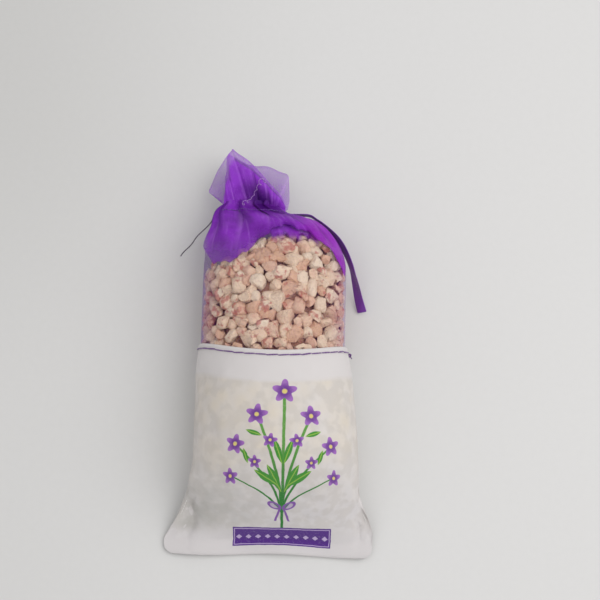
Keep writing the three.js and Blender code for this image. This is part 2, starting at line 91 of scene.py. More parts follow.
# How far along a line each of its points is
def runOf(points):
    return np.concatenate([[0], np.cumsum(np.linalg.norm(np.diff(points, axis=0), axis=1))])


def unit(vectors):
    return vectors / np.linalg.norm(vectors, axis=1)[:, None]


# A line's small unevenness, as waves of a height, a pace and a start
def uneven(place, waves):
    return sum(height * np.sin(place * pace + start) for height, pace, start in waves)


def riseAt(y):
    share = np.clip((y - bag["edgeLength"]) / bag["riseLength"], 0, 1)
    return np.sin(share * math.pi / 2) ** bag["riseFullness"]


def shoulderAt(y):
    return np.clip((y - bag["shoulderStart"]) / (bag["length"] - bag["shoulderStart"]), 0, 1)


def flareLeftAt(y):
    return (1 - np.clip((y - bag["edgeLength"]) / bag["leftFlareLength"], 0, 1)) ** 2


def flareRightAt(y):
    belly = 1 - np.clip((y - bag["edgeLength"]) / bag["rightBellyLength"], 0, 1) ** 2
    return mix(1 - smooth(y, *bag["rightEar"]), belly, bag["rightBellyShare"])


def halfWidthAt(y):
    spread = (flareLeftAt(y) + flareRightAt(y)) / 2
    corner = np.clip(1 - y / bag["cornerRadius"], 0, 1)
    rounding = bag["cornerRadius"] * (1 - np.sqrt(1 - corner ** 2))
    body = bag["fillWidth"] / 2 + (bag["width"] - bag["fillWidth"]) / 2 * spread - rounding
    return neckHalf + (body - neckHalf) * (1 - shoulderAt(y) ** 2) ** bag["shoulderFullness"]


def centreAt(y):
    pull = (bag["width"] - bag["fillWidth"]) / 4 * (flareRightAt(y) - flareLeftAt(y))
    return pull + bag["neckOffset"] * shoulderAt(y) ** bag["neckShiftPower"]


def seamAt(y):
    return mix(bag["edgeThickness"] / 2, bag["seamHeight"], riseAt(y))


def crownAt(y):
    neckTop = bag["seamHeight"] + bag["neckThickness"] / 2 + bag["clothInset"]
    fall = np.clip((y - bag["crownFallStart"]) / (bag["length"] - bag["crownFallStart"]), 0, 1)
    body = mix(bag["edgeThickness"], bag["crownHeight"], riseAt(y))
    return neckTop + (body - neckTop) * (1 - fall ** 2) ** bag["crownFullness"]


def undersideAt(y):
    neckBottom = bag["seamHeight"] - bag["neckThickness"] / 2 - bag["clothInset"]
    return neckBottom * shoulderAt(y) ** 2


# A point of the bag's front or back face; angle runs from -90 degrees at the left seam to 90 at the right
def facePoint(front, angle, y, inset, rise=0.0, fins=False):
    y = np.asarray(y, float)
    seam = seamAt(y) + np.where(front, 1, -1) * bag["seamGap"] / 2
    half = halfWidthAt(y) - inset
    x = centreAt(y) + half * np.sin(angle)
    reach = np.sin(angle)
    if fins:  # the filled part ends before the flat margin at the bottom corners
        margin = np.where(reach < 0, bag["finLeft"], bag["finRight"]) * (1 - smooth(y, *bag["finRise"]))
        reach = np.clip(reach * half / np.maximum(half - margin, 1), -1, 1)
    floor = undersideAt(y) + inset
    depth = (seam - floor + bag["pressedDepth"]) * np.cbrt(1 - np.abs(reach) ** 3)
    high = seam + (crownAt(y) - seam - inset + rise) * np.sqrt(1 - reach ** 2)
    z = np.where(front, high, np.maximum(floor, seam - depth))
    return np.stack([x, y + 0 * x, z], -1)


def hemAt(front, angle):
    return bag["hemHeight"] - np.where(front, bag["hemSag"], 0) * np.cos(angle) ** 2


# Small tools for the work in Blender
def setAll(target, values):
    for key, value in values.items():
        setattr(target, key, value)


def deselectAll():
    for piece in list(bpy.context.selected_objects):
        piece.select_set(False)


def makeActive(piece):
    deselectAll()
    piece.select_set(True)
    bpy.context.view_layer.objects.active = piece


def sheetGrid(name, columns, rows):
    deselectAll()
    bpy.ops.mesh.primitive_grid_add(x_subdivisions=columns, y_subdivisions=rows, size=2)
    piece = bpy.context.active_object
    piece.name = name
    piece.data.name = name
    share = pointsOf(piece)[:, :2] / 2 + 0.5
    return piece, share[:, 0], share[:, 1]


# A grid for the bag's tube: its first half is the front, left to right, and its second half the back
def tubeGrid(name, columns, rows):
    piece, share, along = sheetGrid(name, columns, rows)
    front = share <= 0.5
    across = np.where(front, 2 * share, 2 - 2 * share)
    return piece, share, along, front, across, (across - 0.5) * math.pi


def pointsOf(piece):
    flat = np.empty(len(piece.data.vertices) * 3)
    piece.data.vertices.foreach_get("co", flat)
    return flat.reshape(-1, 3)


def normalsOf(piece):
    flat = np.empty(len(piece.data.vertices) * 3, np.float32)
    piece.data.vertex_normals.foreach_get("vector", flat)
    return flat.reshape(-1, 3).astype(float)


def setPoints(piece, points):
    piece.data.vertices.foreach_set("co", np.asarray(points, np.float32).ravel())
    piece.data.update()


def setFlatCloth(piece, u, v):
    layer = piece.data.uv_layers.active
    layer.name = "flatCloth"
    corner = np.empty(len(piece.data.loops), np.int32)
    piece.data.loops.foreach_get("vertex_index", corner)
    layer.data.foreach_set("uv", np.stack([u[corner], v[corner]], -1).astype(np.float32).ravel())


def paint(piece, name, values):
    layer = piece.data.attributes.get(name) or piece.data.attributes.new(name, "FLOAT", "POINT")
    layer.data.foreach_set("value", np.full(len(piece.data.vertices), values, np.float32))


def applyModifier(piece, kind, **settings):
    makeActive(piece)
    modifier = piece.modifiers.new(kind.title(), kind)
    setAll(modifier, settings)
    bpy.ops.object.modifier_apply(modifier=modifier.name)


def mergeDoubles(piece, distance):
    makeActive(piece)
    bpy.ops.object.mode_set(mode="EDIT")
    bpy.ops.mesh.select_all(action="SELECT")
    bpy.ops.mesh.remove_doubles(threshold=distance)
    bpy.ops.mesh.normals_make_consistent(inside=False)
    bpy.ops.object.mode_set(mode="OBJECT")


def smoothShaded(piece, degrees=180):
    makeActive(piece)
    if degrees >= 180:
        bpy.ops.object.shade_smooth()
    else:
        bpy.ops.object.shade_smooth_by_angle(angle=math.radians(degrees))


def subdivide(piece, degrees=180):
    applyModifier(piece, "SUBSURF", levels=1, render_levels=1)
    smoothShaded(piece, degrees)


def copyOf(shape):
    copy = shape.copy()
    copy.data = shape.data.copy()
    bpy.context.scene.collection.objects.link(copy)
    return copy


# A placing from three axes and a place
def placed(axes, where):
    turn = Matrix(axes).transposed().to_4x4()
    turn.translation = where
    return turn


def joinAll(pieces, name):
    deselectAll()
    for piece in pieces:
        piece.select_set(True)
    bpy.context.view_layer.objects.active = pieces[0]
    if len(pieces) > 1:
        bpy.ops.object.join()
    joined = bpy.context.view_layer.objects.active
    joined.name = name
    joined.data.name = name
    return joined


def dress(piece, material):
    piece.data.materials.clear()
    piece.data.materials.append(material)


# Evenly spaced points along a smooth line through the given ones
def smoothLine(points, count):
    points = np.asarray(points, float)
    ends = np.vstack([2 * points[0] - points[1], points, 2 * points[-1] - points[-2]])
    fine = []
    for i in range(len(points) - 1):
        a, b, c, d = ends[i:i + 4]
        for step in np.linspace(0, 1, 24, endpoint=False):
            fine.append(0.5 * (2 * b + (c - a) * step + (2 * a - 5 * b + 4 * c - d) * step ** 2
                               + (3 * b - a - 3 * c + d) * step ** 3))
    fine.append(points[-1])
    fine = np.array(fine)
    run = runOf(fine)
    spots = np.linspace(0, run[-1], count)
    return np.stack([np.interp(spots, run, fine[:, axis]) for axis in range(3)], -1)


# A round thread along a line of points in the row frame
def threadAlong(name, points, diameter, sides=6):
    curve = bpy.data.curves.new(name, "CURVE")
    curve.dimensions = "3D"
    curve.bevel_depth = diameter / 2
    curve.bevel_resolution = max(0, sides // 2 - 2)
    curve.use_fill_caps = True
    spline = curve.splines.new("POLY")
    spline.points.add(len(points) - 1)
    for spot, point in zip(spline.points, points):
        spot.co = (*point, 1)
    piece = bpy.data.objects.new(name, curve)
    bpy.context.scene.collection.objects.link(piece)
    makeActive(piece)
    bpy.ops.object.convert(target="MESH")
    piece = bpy.context.active_object
    piece.data.name = name
    smoothShaded(piece)
    return piece


# Shader maths: a socket that can be added, multiplied and compared
class Flow:
    def __init__(self, tree, socket=None):
        self.tree = tree
        self.socket = socket

    def node(self, kind, settings=None, values=None, output=0):
        made = self.tree.nodes.new(kind)
        for key, value in (settings or {}).items():
            if key == "stops":
                while len(made.color_ramp.elements) < len(value):
                    made.color_ramp.elements.new(1)
                for element, (position, colour) in zip(made.color_ramp.elements, value):
                    element.position = position
                    element.color = colour
            else:
                setattr(made, key, value)
        for key, value in (values or {}).items():
            if isinstance(value, Flow):
                self.tree.links.new(value.socket, made.inputs[key])
            else:
                made.inputs[key].default_value = value
        return Flow(self.tree, made.outputs[output] if made.outputs else None)

    def out(self, name):
        return Flow(self.tree, self.socket.node.outputs[name])

    def maths(self, operation, *others):
        return self.node("ShaderNodeMath", {"operation": operation}, dict(enumerate((self, *others))))

    def turned(self, operation, other):
        return self.node("ShaderNodeMath", {"operation": operation}, {0: other, 1: self})

    def __add__(self, other):
        return self.maths("ADD", other)

    __radd__ = __add__

    def __sub__(self, other):
        return self.maths("SUBTRACT", other)

    def __rsub__(self, other):
        return self.turned("SUBTRACT", other)

    def __mul__(self, other):
        return self.maths("MULTIPLY", other)

    __rmul__ = __mul__

    def __truediv__(self, other):
        return self.maths("DIVIDE", other)

    def __rtruediv__(self, other):
        return self.turned("DIVIDE", other)

    def __pow__(self, other):
        return self.maths("POWER", other)

    def __abs__(self):
        return self.maths("ABSOLUTE")

    def __or__(self, other):
        return self.maths("MAXIMUM", other)

    def __and__(self, other):
        return self.maths("MINIMUM", other)

    def ramp(self, low, high, start=0, end=1):
        return self.node("ShaderNodeMapRange", {"interpolation_type": "SMOOTHSTEP"},
                         {"Value": self, "From Min": low, "From Max": high,
                          "To Min": start, "To Max": end})

    def below(self, limit, soft):
        return self.ramp(limit - soft, limit + soft, 1, 0)

    def colour(self, first, second):
        return self.node("ShaderNodeMix", {"data_type": "RGBA"}, {0: self, 6: first, 7: second}, 2)

    def noise(self, where, scale, detail=2, roughness=0.5):
        return self.node("ShaderNodeTexNoise", None,
                         {"Vector": where, "Scale": scale, "Detail": detail, "Roughness": roughness})

    def bump(self, height, distance, strength=1):
        return self.node("ShaderNodeBump", None,
                         {"Height": height, "Distance": distance, "Strength": strength})

    def attribute(self, name):
        return self.node("ShaderNodeAttribute", {"attribute_name": name}, None, "Fac")

    def place(self):
        return self.node("ShaderNodeTexCoord", None, None, "Object")

    def axes(self):
        split = self.node("ShaderNodeSeparateXYZ", None, {0: self})
        return split.out("X"), split.out("Y")

    def flatCloth(self):
        return self.node("ShaderNodeUVMap", {"uv_map": "flatCloth"})

    def streaks(self, where, scale):
        return self.noise(self.node("ShaderNodeMapping", None, {"Vector": where, "Scale": scale}), 1, 3)

    def finish(self, **values):
        shader = self.node("ShaderNodeBsdfPrincipled", None, values)
        self.node("ShaderNodeOutputMaterial", None, {"Surface": shader})


def newFinish(name):
    material = bpy.data.materials.new(name)
    material.use_nodes = True
    material.node_tree.nodes.clear()
    return material, Flow(material.node_tree)


def ink(red, green, blue):
    levels = []
    for level in (red / 255, green / 255, blue / 255):
        levels.append(level / 12.92 if level <= 0.04045 else ((level + 0.055) / 1.055) ** 2.4)
    return (*levels, 1)


# Camera at the photograph's angle
photoView = {
    "elevation": 78, "roll": 1.4, "distance": 520, "focalPixels": 1430, "imagePixels": 600,
    "target": (9.4, 91.7, 14), "sensor": 36, "near": 0.01, "far": 20,
}


def makeCamera():
    tilt = math.radians(photoView["elevation"])
    roll = math.radians(photoView["roll"])
    ahead = Vector((0, math.cos(tilt), -math.sin(tilt)))
    side = Vector((1, 0, 0))
    upward = Vector((0, math.sin(tilt), math.cos(tilt)))
    right = side * math.cos(roll) + upward * math.sin(roll)
    up = upward * math.cos(roll) - side * math.sin(roll)
    eye = Vector(toFrame(photoView["target"])) - ahead * photoView["distance"] / 1000
    deselectAll()
    bpy.ops.object.camera_add()
    camera = bpy.context.active_object
    camera.name = "photoCamera"
    camera.matrix_world = placed((right, up, -ahead), eye)
    camera.data.sensor_width = photoView["sensor"]
    camera.data.lens = photoView["focalPixels"] / photoView["imagePixels"] * photoView["sensor"]
    camera.data.clip_start = photoView["near"]
    camera.data.clip_end = photoView["far"]
    bpy.context.scene.camera = camera


makeCamera()
print("camera placed")

# Ribbon: on edge through the neck and along the right shoulder, then the twisting tail.
# The route is the part's own, in metres in the row frame.
ribbon = {
    "shoulder": [(-0.012, 0.086, 0.014), (-0.006, 0.086, 0.014), (0, 0.086, 0.014),
                 (0.006, 0.086, 0.014), (0.012, 0.086, 0.014), (0.0149, 0.0844, 0.014),
                 (0.0175, 0.0824, 0.014), (0.0213, 0.0787, 0.014), (0.0241, 0.0751, 0.014),
                 (0.0261, 0.0715, 0.014)],
    "tail": [(0.0277, 0.0676, 0.0138), (0.0289, 0.0641, 0.0113), (0.0301, 0.0605, 0.0072),
             (0.0313, 0.0567, 0.0034), (0.0326, 0.0527, 0.0013)],
    "width": 0.0036, "thickness": 0.0003, "cup": 0.00025, "cupPace": 0.19, "steps": 110, "columns": 8,
    "leanShoulder": 28, "leanTwist": 22, "leanTail": 68, "leanStart": 0.62, "leanFull": 0.86,
    "twistShare": 0.3, "ribs": 2400, "streaks": (26, 5, 1),
    "satin": ink(86, 18, 130), "satinLight": ink(136, 52, 178),
}


def satinFinish():
    material, flow = newFinish("satinRibbon")
    uv = flow.flatCloth()
    across, along = uv.axes()
    selvedge = abs(across - 0.5).ramp(0.40, 0.47)
    ribs = (along * ribbon["ribs"]).maths("SINE") * 0.5 + 0.5
    streak = flow.streaks(uv, ribbon["streaks"])
    tone = streak * 0.55 + ribs * 0.12 + selvedge * 0.35
    base = tone.colour(ribbon["satin"], ribbon["satinLight"])
    height = ribs * 0.25 + selvedge * 0.9
    flow.finish(**{"Base Color": base, "Roughness": 0.3 + streak * 0.22,
                   "Normal": flow.bump(height, 0.00008), "Sheen Weight": 0.25,
                   "Specular IOR Level": 0.6})
    return material


def makeRibbon():
    line = smoothLine(ribbon["shoulder"] + ribbon["tail"], ribbon["steps"] + 1)
    run = runOf(line)
    turn = run[np.argmin(np.linalg.norm(line - ribbon["shoulder"][-1], axis=1))]
    leanAt = [0, turn * ribbon["leanStart"], turn * ribbon["leanFull"],
              mix(turn, run[-1], ribbon["twistShare"]), run[-1]]
    lean = np.interp(run, leanAt, [0, 0, ribbon["leanShoulder"], ribbon["leanTwist"], ribbon["leanTail"]])
    heading = unit(np.gradient(line, axis=0))
    level = unit(np.stack([heading[:, 1], -heading[:, 0], 0 * run], -1))
    upright = np.cross(level, heading)
    upright *= np.sign(upright[:, 2:3])
    angle = np.radians(lean)[:, None]
    wide = -upright * np.cos(angle) + level * np.sin(angle)
    thick = np.cross(wide, heading)
    piece, across, along = sheetGrid("ribbonDrawstring", ribbon["columns"], ribbon["steps"])
    row = np.round(along * ribbon["steps"]).astype(int)
    offset = (across - 0.5) * ribbon["width"]
    cup = ribbon["cup"] * (1 - (2 * across - 1) ** 2) * np.sin(row * ribbon["cupPace"])
    points = line[row] + wide[row] * offset[:, None] + thick[row] * cup[:, None]
    setPoints(piece, points)
    setFlatCloth(piece, across, along)
    applyModifier(piece, "SOLIDIFY", thickness=ribbon["thickness"], offset=0)
    subdivide(piece, 50)
    dress(piece, satinFinish())
    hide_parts("ribbon_drawstring", "ribbon_tail")
    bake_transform(piece)
    print("ribbon made,", round(run[-1] * 1000, 1), "mm")


makeRibbon()

# Loose thread at the left shoulder
looseThread = {
    "held": [(-0.0209, 0.088, 0.014), (-0.0229, 0.0849, 0.014), (-0.0241, 0.0824, 0.014)],
    "free": [(-0.0274, 0.0789, 0.0136), (-0.0312, 0.0745, 0.0122), (-0.035, 0.0703, 0.0105)],
    "diameter": 0.00045, "steps": 60, "wander": 0.00025, "wanderPace": 19, "bob": 0.0002, "bobPace": 13,
    "dark": ink(70, 64, 72), "light": ink(128, 122, 130), "twists": 9000,
}


def threadFinish(name, dark, light, twists):
    material, flow = newFinish(name)
    place = flow.place()
    fuzz = flow.noise(place, 2600, 3)
    slant = flow.node("ShaderNodeVectorMath", {"operation": "DOT_PRODUCT"},
                      {0: place, 1: (twists, twists * 0.6, twists * 0.3)}, "Value")
    twist = slant.maths("SINE")
    tone = twist * 0.3 + fuzz * 0.6 + 0.1
    flow.finish(**{"Base Color": tone.colour(dark, light), "Roughness": 0.75,
                   "Normal": flow.bump(twist, 0.00006), "Sheen Weight": 0.3})
    return material


def makeLooseThread():
    line = smoothLine(looseThread["held"] + looseThread["free"], looseThread["steps"])
    share = np.linspace(0, 1, looseThread["steps"])
    line[:, 0] += looseThread["wander"] * np.sin(share * looseThread["wanderPace"]) * share
    line[:, 2] += looseThread["bob"] * np.sin(share * looseThread["bobPace"])
    piece = threadAlong("looseThread", line, looseThread["diameter"], 8)
    grey = threadFinish("greyThread", looseThread["dark"], looseThread["light"], looseThread["twists"])
    dress(piece, grey)
    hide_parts("loose_thread_held", "loose_thread_free")
    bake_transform(piece)
    print("loose thread made")


makeLooseThread()

# Filling: crushed cob granules packed under the window
filling = {
    "seed": 11, "shapes": 16, "darts": 3400, "lowest": -9,
    "scatterSteps": (0.7548776662, 0.569840291), "scatterTries": 1500, "scatterReach": 70,
    "scatterGap": 0.35, "scatterInset": 1.6, "dome": 8,
    "solidKinds": [(5.6, 0, 1), (4, 0.5, 0.84)],
    "room": [2.4, 1.8, 1.55], "radius": [3.8, 2.95, 2.6], "sink": [0, 0.4, 0.6],
    "topLine": [(-27, 101), (-21, 103), (-13, 105.5), (-6, 110), (2, 112.5), (8, 113.5), (13, 112.5),
                (19, 110.5), (24, 107), (27, 103)],
    "rightRise": 3, "rightRun": (0.4, 0.75), "rim": 0.65, "rimRun": (0.4, 1.2), "skin": 1.5, "bed": 2.4,
    "secondDepth": 3.3, "relaxSteps": 160, "reach": 88, "crowding": 0.9, "push": 0.22, "give": 40,
    "cuts": 6, "cutReach": (0.5, 0.82), "weld": 0.12, "wear": 0.16, "sharpAngle": 46,
    "sizes": (0.9, 1.15), "stretch": [(0.95, 1.22), (0.8, 1.0), (0.68, 0.9)], "tumble": 0.38,
    "sinkSpread": 0.3,
    "pale": ink(252, 233, 209), "cream": ink(248, 219, 190), "tan": ink(231, 187, 153),
    "pink": ink(240, 197, 171), "stain": ink(200, 112, 100), "creviceShade": ink(142, 84, 64),
}


def granuleFinish():
    material, flow = newFinish("crushedCob")
    place = flow.place()
    tone = flow.attribute("tone")
    stain = flow.attribute("stain")
    deep = flow.attribute("deep")
    rough = flow.noise(place, 900, 5, 0.65)
    cloud = flow.noise(place, 330, 3)
    grit = flow.noise(place, 2400, 3, 0.6)
    tints = {0.05: "tan", 0.3: "pink", 0.5: "cream", 0.95: "pale"}
    stops = [(at, filling[tint]) for at, tint in tints.items()]
    mixed = flow.node("ShaderNodeValToRGB", {"stops": stops}, {"Fac": tone * 0.75 + cloud * 0.5 - 0.12})
    spots = (flow.noise(place, 420, 3) - 0.5 + stain * 0.2).ramp(0.12, 0.27)
    stained = (spots * 0.75).colour(mixed, filling["stain"])
    # painted shade: darker in the low spots of the bump noise, on each granule's lower sides and all over
    # the under layer of granules, with small dark specks, mixed towards the crevice shade colour
    dark = (grit.below(0.4, 0.12) * 0.12 + rough.below(0.4, 0.2) * 0.2 + deep * 0.34) & 0.8
    base = dark.colour(stained, filling["creviceShade"])
    height = rough * 0.8 + cloud * 0.9 + grit * 0.2
    flow.finish(**{"Base Color": base, "Roughness": 0.88, "Normal": flow.bump(height, 0.0017),
                   "Specular IOR Level": 0.25})
    return material


# One granule shape: a ball cut by flat breaks, with its corners worn
def granuleShape(random, number):
    deselectAll()
    bpy.ops.mesh.primitive_ico_sphere_add(subdivisions=2, radius=1)
    piece = bpy.context.active_object
    piece.name = "granuleShape"
    bpy.ops.object.mode_set(mode="EDIT")
    for _ in range(filling["cuts"]):
        way = random.normal(size=3)
        way /= np.linalg.norm(way)
        reach = random.uniform(*filling["cutReach"])
        bpy.ops.mesh.select_all(action="SELECT")
        bpy.ops.mesh.bisect(plane_co=tuple(way * reach), plane_no=tuple(way),
                            use_fill=True, clear_outer=True)
    bpy.ops.mesh.select_all(action="SELECT")
    bpy.ops.mesh.remove_doubles(threshold=filling["weld"])
    bpy.ops.transform.vertex_random(offset=filling["wear"], seed=number)
    bpy.ops.mesh.normals_make_consistent(inside=False)
    bpy.ops.object.mode_set(mode="OBJECT")
    points = pointsOf(piece)
    points -= points.mean(0)
    points /= np.abs(points).max()
    setPoints(piece, points)
    smoothShaded(piece, filling["sharpAngle"])
    return piece


# The bag's surface at a point: its slopes across and along, and the way out
def surfaceAxes(front, angle, y, inset):
    turn, rise = 0.01, 0.2
    across = facePoint(front, angle + turn, y, inset) - facePoint(front, angle - turn, y, inset)
    along = facePoint(front, angle, y + rise, inset) - facePoint(front, angle, y - rise, inset)
    outward = np.cross(across, along) * np.where(front, 1, -1)[:, None]
    return across / (2 * turn), along / (2 * rise), unit(outward)


def fillTopAt(angle):
    return np.interp(np.sin(angle) * bag["fillWidth"] / 2, *zip(*filling["topLine"]))


# Loose granules reach a little higher under the right band
def looseTopAt(angle):
    return fillTopAt(angle) + filling["rightRise"] * smooth(np.sin(angle), *filling["rightRun"])


def looseLowAt(front, angle):
    return hemAt(front, angle) + filling["lowest"]


# The places of the part's own big and small granules: an even scatter, as in its source
def solidPlaces(front):
    reach = math.radians(filling["scatterReach"])
    step = np.arange(filling["scatterTries"])
    fronts = np.full(len(step), front)
    angle = mix(-reach, reach, step * filling["scatterSteps"][0] % 1)
    chosen = []
    for kind, (size, sink, crowding) in enumerate(filling["solidKinds"]):
        low = hemAt(front, angle) + size / 2
        y = mix(low, fillTopAt(angle) - filling["dome"] / 2, step * filling["scatterSteps"][1] % 1)
        outward = surfaceAxes(fronts, angle, y, filling["scatterInset"])[2]
        depth = size / 2 + filling["scatterGap"] + sink
        spots = facePoint(fronts, angle, y, filling["scatterInset"]) - outward * depth
        need = [crowding * ((size + other) / 2 + filling["scatterGap"])
                for other, _, _ in filling["solidKinds"]]
        for i in step:
            if all(np.linalg.norm(spots[i] - spot) > need[other] for spot, _, _, other in chosen):
                chosen.append((spots[i], angle[i], y[i], kind))
    return [np.array(column) for column in list(zip(*chosen))[1:]]


# Loose granules that push each other into the gaps between the part's own
def granulePlaces(random, front, inset, own):
    reach = math.radians(filling["reach"])
    guess = random.uniform(-reach, reach, filling["darts"])
    angle = np.concatenate([own[0], guess])
    high = mix(looseLowAt(front, guess), looseTopAt(guess), random.uniform(0, 1, len(guess)))
    y = np.concatenate([own[1], high])
    kind = np.concatenate([own[2], np.full(len(guess), 2)]).astype(int)
    room = np.array(filling["room"])[kind]
    spots = facePoint(np.full(len(angle), front), angle, y, inset)
    keep = []
    for i in range(len(angle)):
        near = np.linalg.norm(spots[keep] - spots[i], axis=1) < (room[keep] + room[i]) * filling["crowding"]
        if kind[i] < 2 or not near.any():
            keep.append(i)
    angle, y, kind, room = angle[keep], y[keep], kind[keep], room[keep]
    fronts = np.full(len(angle), front)
    for _ in range(filling["relaxSteps"]):
        spots = facePoint(fronts, angle, y, inset)
        across, along, _ = surfaceAxes(fronts, angle, y, inset)
        apart = spots[:, None] - spots[None]
        gap = np.linalg.norm(apart, axis=-1) + 1e-9
        push = np.clip(room[:, None] + room[None] - gap, 0, None) * (gap > 1e-6)
        move = (apart / gap[..., None] * push[..., None]).sum(1) * filling["push"]
        move[kind < 2] = 0
        swing = (move * across).sum(-1) / ((across ** 2).sum(-1) + filling["give"])
        angle = np.clip(angle + swing, -reach, reach)
        y = y + (move * along).sum(-1) / (along ** 2).sum(-1)
        y = np.where(kind < 2, y, np.clip(y, looseLowAt(front, angle), looseTopAt(angle)))
    return fronts, angle, y, kind


def makeFilling():
    random = np.random.default_rng(filling["seed"])
    shapes = [granuleShape(random, number) for number in range(filling["shapes"])]
    pieces = []
    for front, layer in [(True, 0), (True, 1), (False, 0)]:
        inset = filling["skin"] + filling["bed"] + layer * filling["secondDepth"]
        own = solidPlaces(front) if layer == 0 else [np.zeros(0)] * 3
        fronts, angle, y, kind = granulePlaces(random, front, inset, own)
        spots = facePoint(fronts, angle, y, inset)
        outward = surfaceAxes(fronts, angle, y, inset)[2]
        for i, spot in enumerate(spots):
            copy = copyOf(shapes[random.integers(len(shapes))])
            size = filling["radius"][kind[i]] * random.uniform(*filling["sizes"])
            stretch = size * np.array([random.uniform(*span) for span in filling["stretch"]])
            lie = Vector(outward[i]).to_track_quat("Z", "Y").to_matrix()
            spin = Matrix.Rotation(random.uniform(0, 2 * math.pi), 3, "Z")
            tumble = Matrix.Rotation(random.normal(0, filling["tumble"]), 3, "X")
            turn = np.array(lie @ spin @ tumble)
            points = (pointsOf(copy) * stretch) @ turn.T
            height = points @ outward[i]
            proud = height.max()
            sink = inset - filling["skin"] - layer * filling["secondDepth"]
            deeper = filling["sink"][kind[i]] + abs(random.normal(0, filling["sinkSpread"]))
            points += spot + outward[i] * (sink - deeper * math.cos(angle[i]) - proud)
            setPoints(copy, toFrame(points))
            paint(copy, "tone", random.uniform(0, 1))
            paint(copy, "stain", random.uniform(0, 1) ** 3)
            # painted shade: each granule is drawn darker down its sides, away from its top, and the under
            # layer is drawn darker all over
            rim = smooth((proud - height) / size, *filling["rimRun"])
            paint(copy, "deep", layer + filling["rim"] * rim)
            pieces.append(copy)
    for shape in shapes:
        bpy.data.objects.remove(shape)
    piece = joinAll(pieces, "granuleFill")
    dress(piece, granuleFinish())
    nodes = [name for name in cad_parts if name.startswith("granule_")]
    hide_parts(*nodes)
    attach(piece, "bag")
    print("filling made,", len(pieces), "granules")


makeFilling()

# The inside of the filling, which closes the gaps between the granules and is painted dark as the shade in
# those gaps
fillHeart = {
    "inset": 5.6, "columns": 64, "rows": 40, "low": 14, "below": 1.5, "lumps": 0.6, "lumpPace": (1.7, 1.5),
    "tone": 0.2, "stain": 0.3, "deep": 1.6,
}


def makeFillHeart():
    piece, _, along, front, _, angle = tubeGrid("fillHeart", fillHeart["columns"], fillHeart["rows"])
    y = mix(fillHeart["low"], fillTopAt(angle) - fillHeart["below"], along)
    ends = np.sqrt(np.clip(1 - (2 * along - 1) ** 16, 0, 1))
    points = facePoint(front, angle, y, fillHeart["inset"])
    middle = np.stack([centreAt(y), y, (crownAt(y) + undersideAt(y)) / 2], -1)
    points = mix(middle, points, ends[:, None])
    points[:, 2] += fillHeart["lumps"] * np.sin(points[:, :2] * fillHeart["lumpPace"]).prod(1)
    setPoints(piece, toFrame(points))
    mergeDoubles(piece, 1e-6)
    smoothShaded(piece)
    # the heart carries the painted shade of the gaps between granules
    for name in ("tone", "stain", "deep"):
        paint(piece, name, fillHeart[name])
    dress(piece, bpy.data.materials["crushedCob"])
    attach(piece, "bag")
    print("heart of the filling made")


makeFillHeart()

# White pouch: one lofted bag of cloth pressed onto the granules by simulation, with a rolled hem
pouch = {
    "columns": 144, "rows": 66, "flatScale": 200, "seed": 5, "lumpSpacing": 5.4, "lumpHeight": 1.25,
    "lumpRadius": 3.6, "lumpFall": 1.4, "lumpTries": 2600, "lumpFront": 0.62, "lumpAngle": 1.5,
    "lumpRun": (11, 78), "lumpRise": (9, 20), "lumpStrength": (0.45, 1), "lumpBack": 0.4,
    "lumpSize": (0.8, 1.2), "coreInset": 1.15, "simScale": 10, "simFrames": 18, "gravity": 0.25,
    "core": {"thickness_outer": 0.004, "cloth_friction": 8},
    "cloth": {"quality": 6, "mass": 0.2, "tension_stiffness": 22, "compression_stiffness": 12,
              "shear_stiffness": 6, "bending_stiffness": 0.35, "air_damping": 3, "shrink_min": -0.012,
              "vertex_group_mass": "held", "use_pressure": True, "uniform_pressure_force": -2.2},
    "contact": {"collision_quality": 3, "distance_min": 0.003, "use_self_collision": False},
    "mostIn": 0.9, "mostInAtHem": 0.25, "softenings": 3, "hemStep": 0.28, "hemDraw": 0.5,
    "floorStart": 0.25, "floorGap": 0.15, "marginRun": (3, 12), "marginLift": 0.9, "marginWave": 0.5,
    "hemRoll": [(0.12, 0.22), (0.45, 0.36), (0.85, 0.22), (1.05, -0.6), (1.05, -4.5)],
    "white": ink(215, 210, 208), "warm": ink(217, 206, 188), "between": ink(184, 177, 168),
    "cool": ink(206, 203, 205), "paintedShade": ink(176, 174, 166), "weft": ink(176, 172, 172), "threads": 17.5,
}


def pouchGrid(name, inset, roll):
    extra = len(pouch["hemRoll"]) if roll else 0
    rows = pouch["rows"] + extra
    piece, _, along, front, across, angle = tubeGrid(name, pouch["columns"], rows)
    row = np.round(along * rows).astype(int)
    top = hemAt(front, angle)
    y = top * np.clip(row / pouch["rows"], 0, 1)
    rollInset = np.zeros(len(row))
    for i, (inward, upward) in enumerate(pouch["hemRoll"][:extra]):
        here = row == pouch["rows"] + i + 1
        rollInset[here] = inward
        y[here] = top[here] + upward
    drawn = inset * smooth(y, 5, 18) + rollInset + pouch["hemDraw"] * smooth(y - top, -9, 0)
    points = facePoint(front, angle, y, drawn, fins=True)
    points[row == 0, 2] = bag["edgeThickness"] / 2
    return piece, points, front, across, row, y, top


def lumpPlaces(random):
    spots = []
    for _ in range(pouch["lumpTries"]):
        front = random.uniform() < pouch["lumpFront"]
        angle = random.uniform(-pouch["lumpAngle"], pouch["lumpAngle"])
        y = random.uniform(*pouch["lumpRun"])
        spot = facePoint(np.array(front), angle, y, pouch["coreInset"], fins=True)
        if all(np.linalg.norm(spot - other) > pouch["lumpSpacing"] for other, _, _ in spots):
            strength = random.uniform(*pouch["lumpStrength"]) * smooth(y, *pouch["lumpRise"])
            strength *= 1 if front else pouch["lumpBack"]
            spots.append((spot, strength, random.uniform(*pouch["lumpSize"])))
    return spots


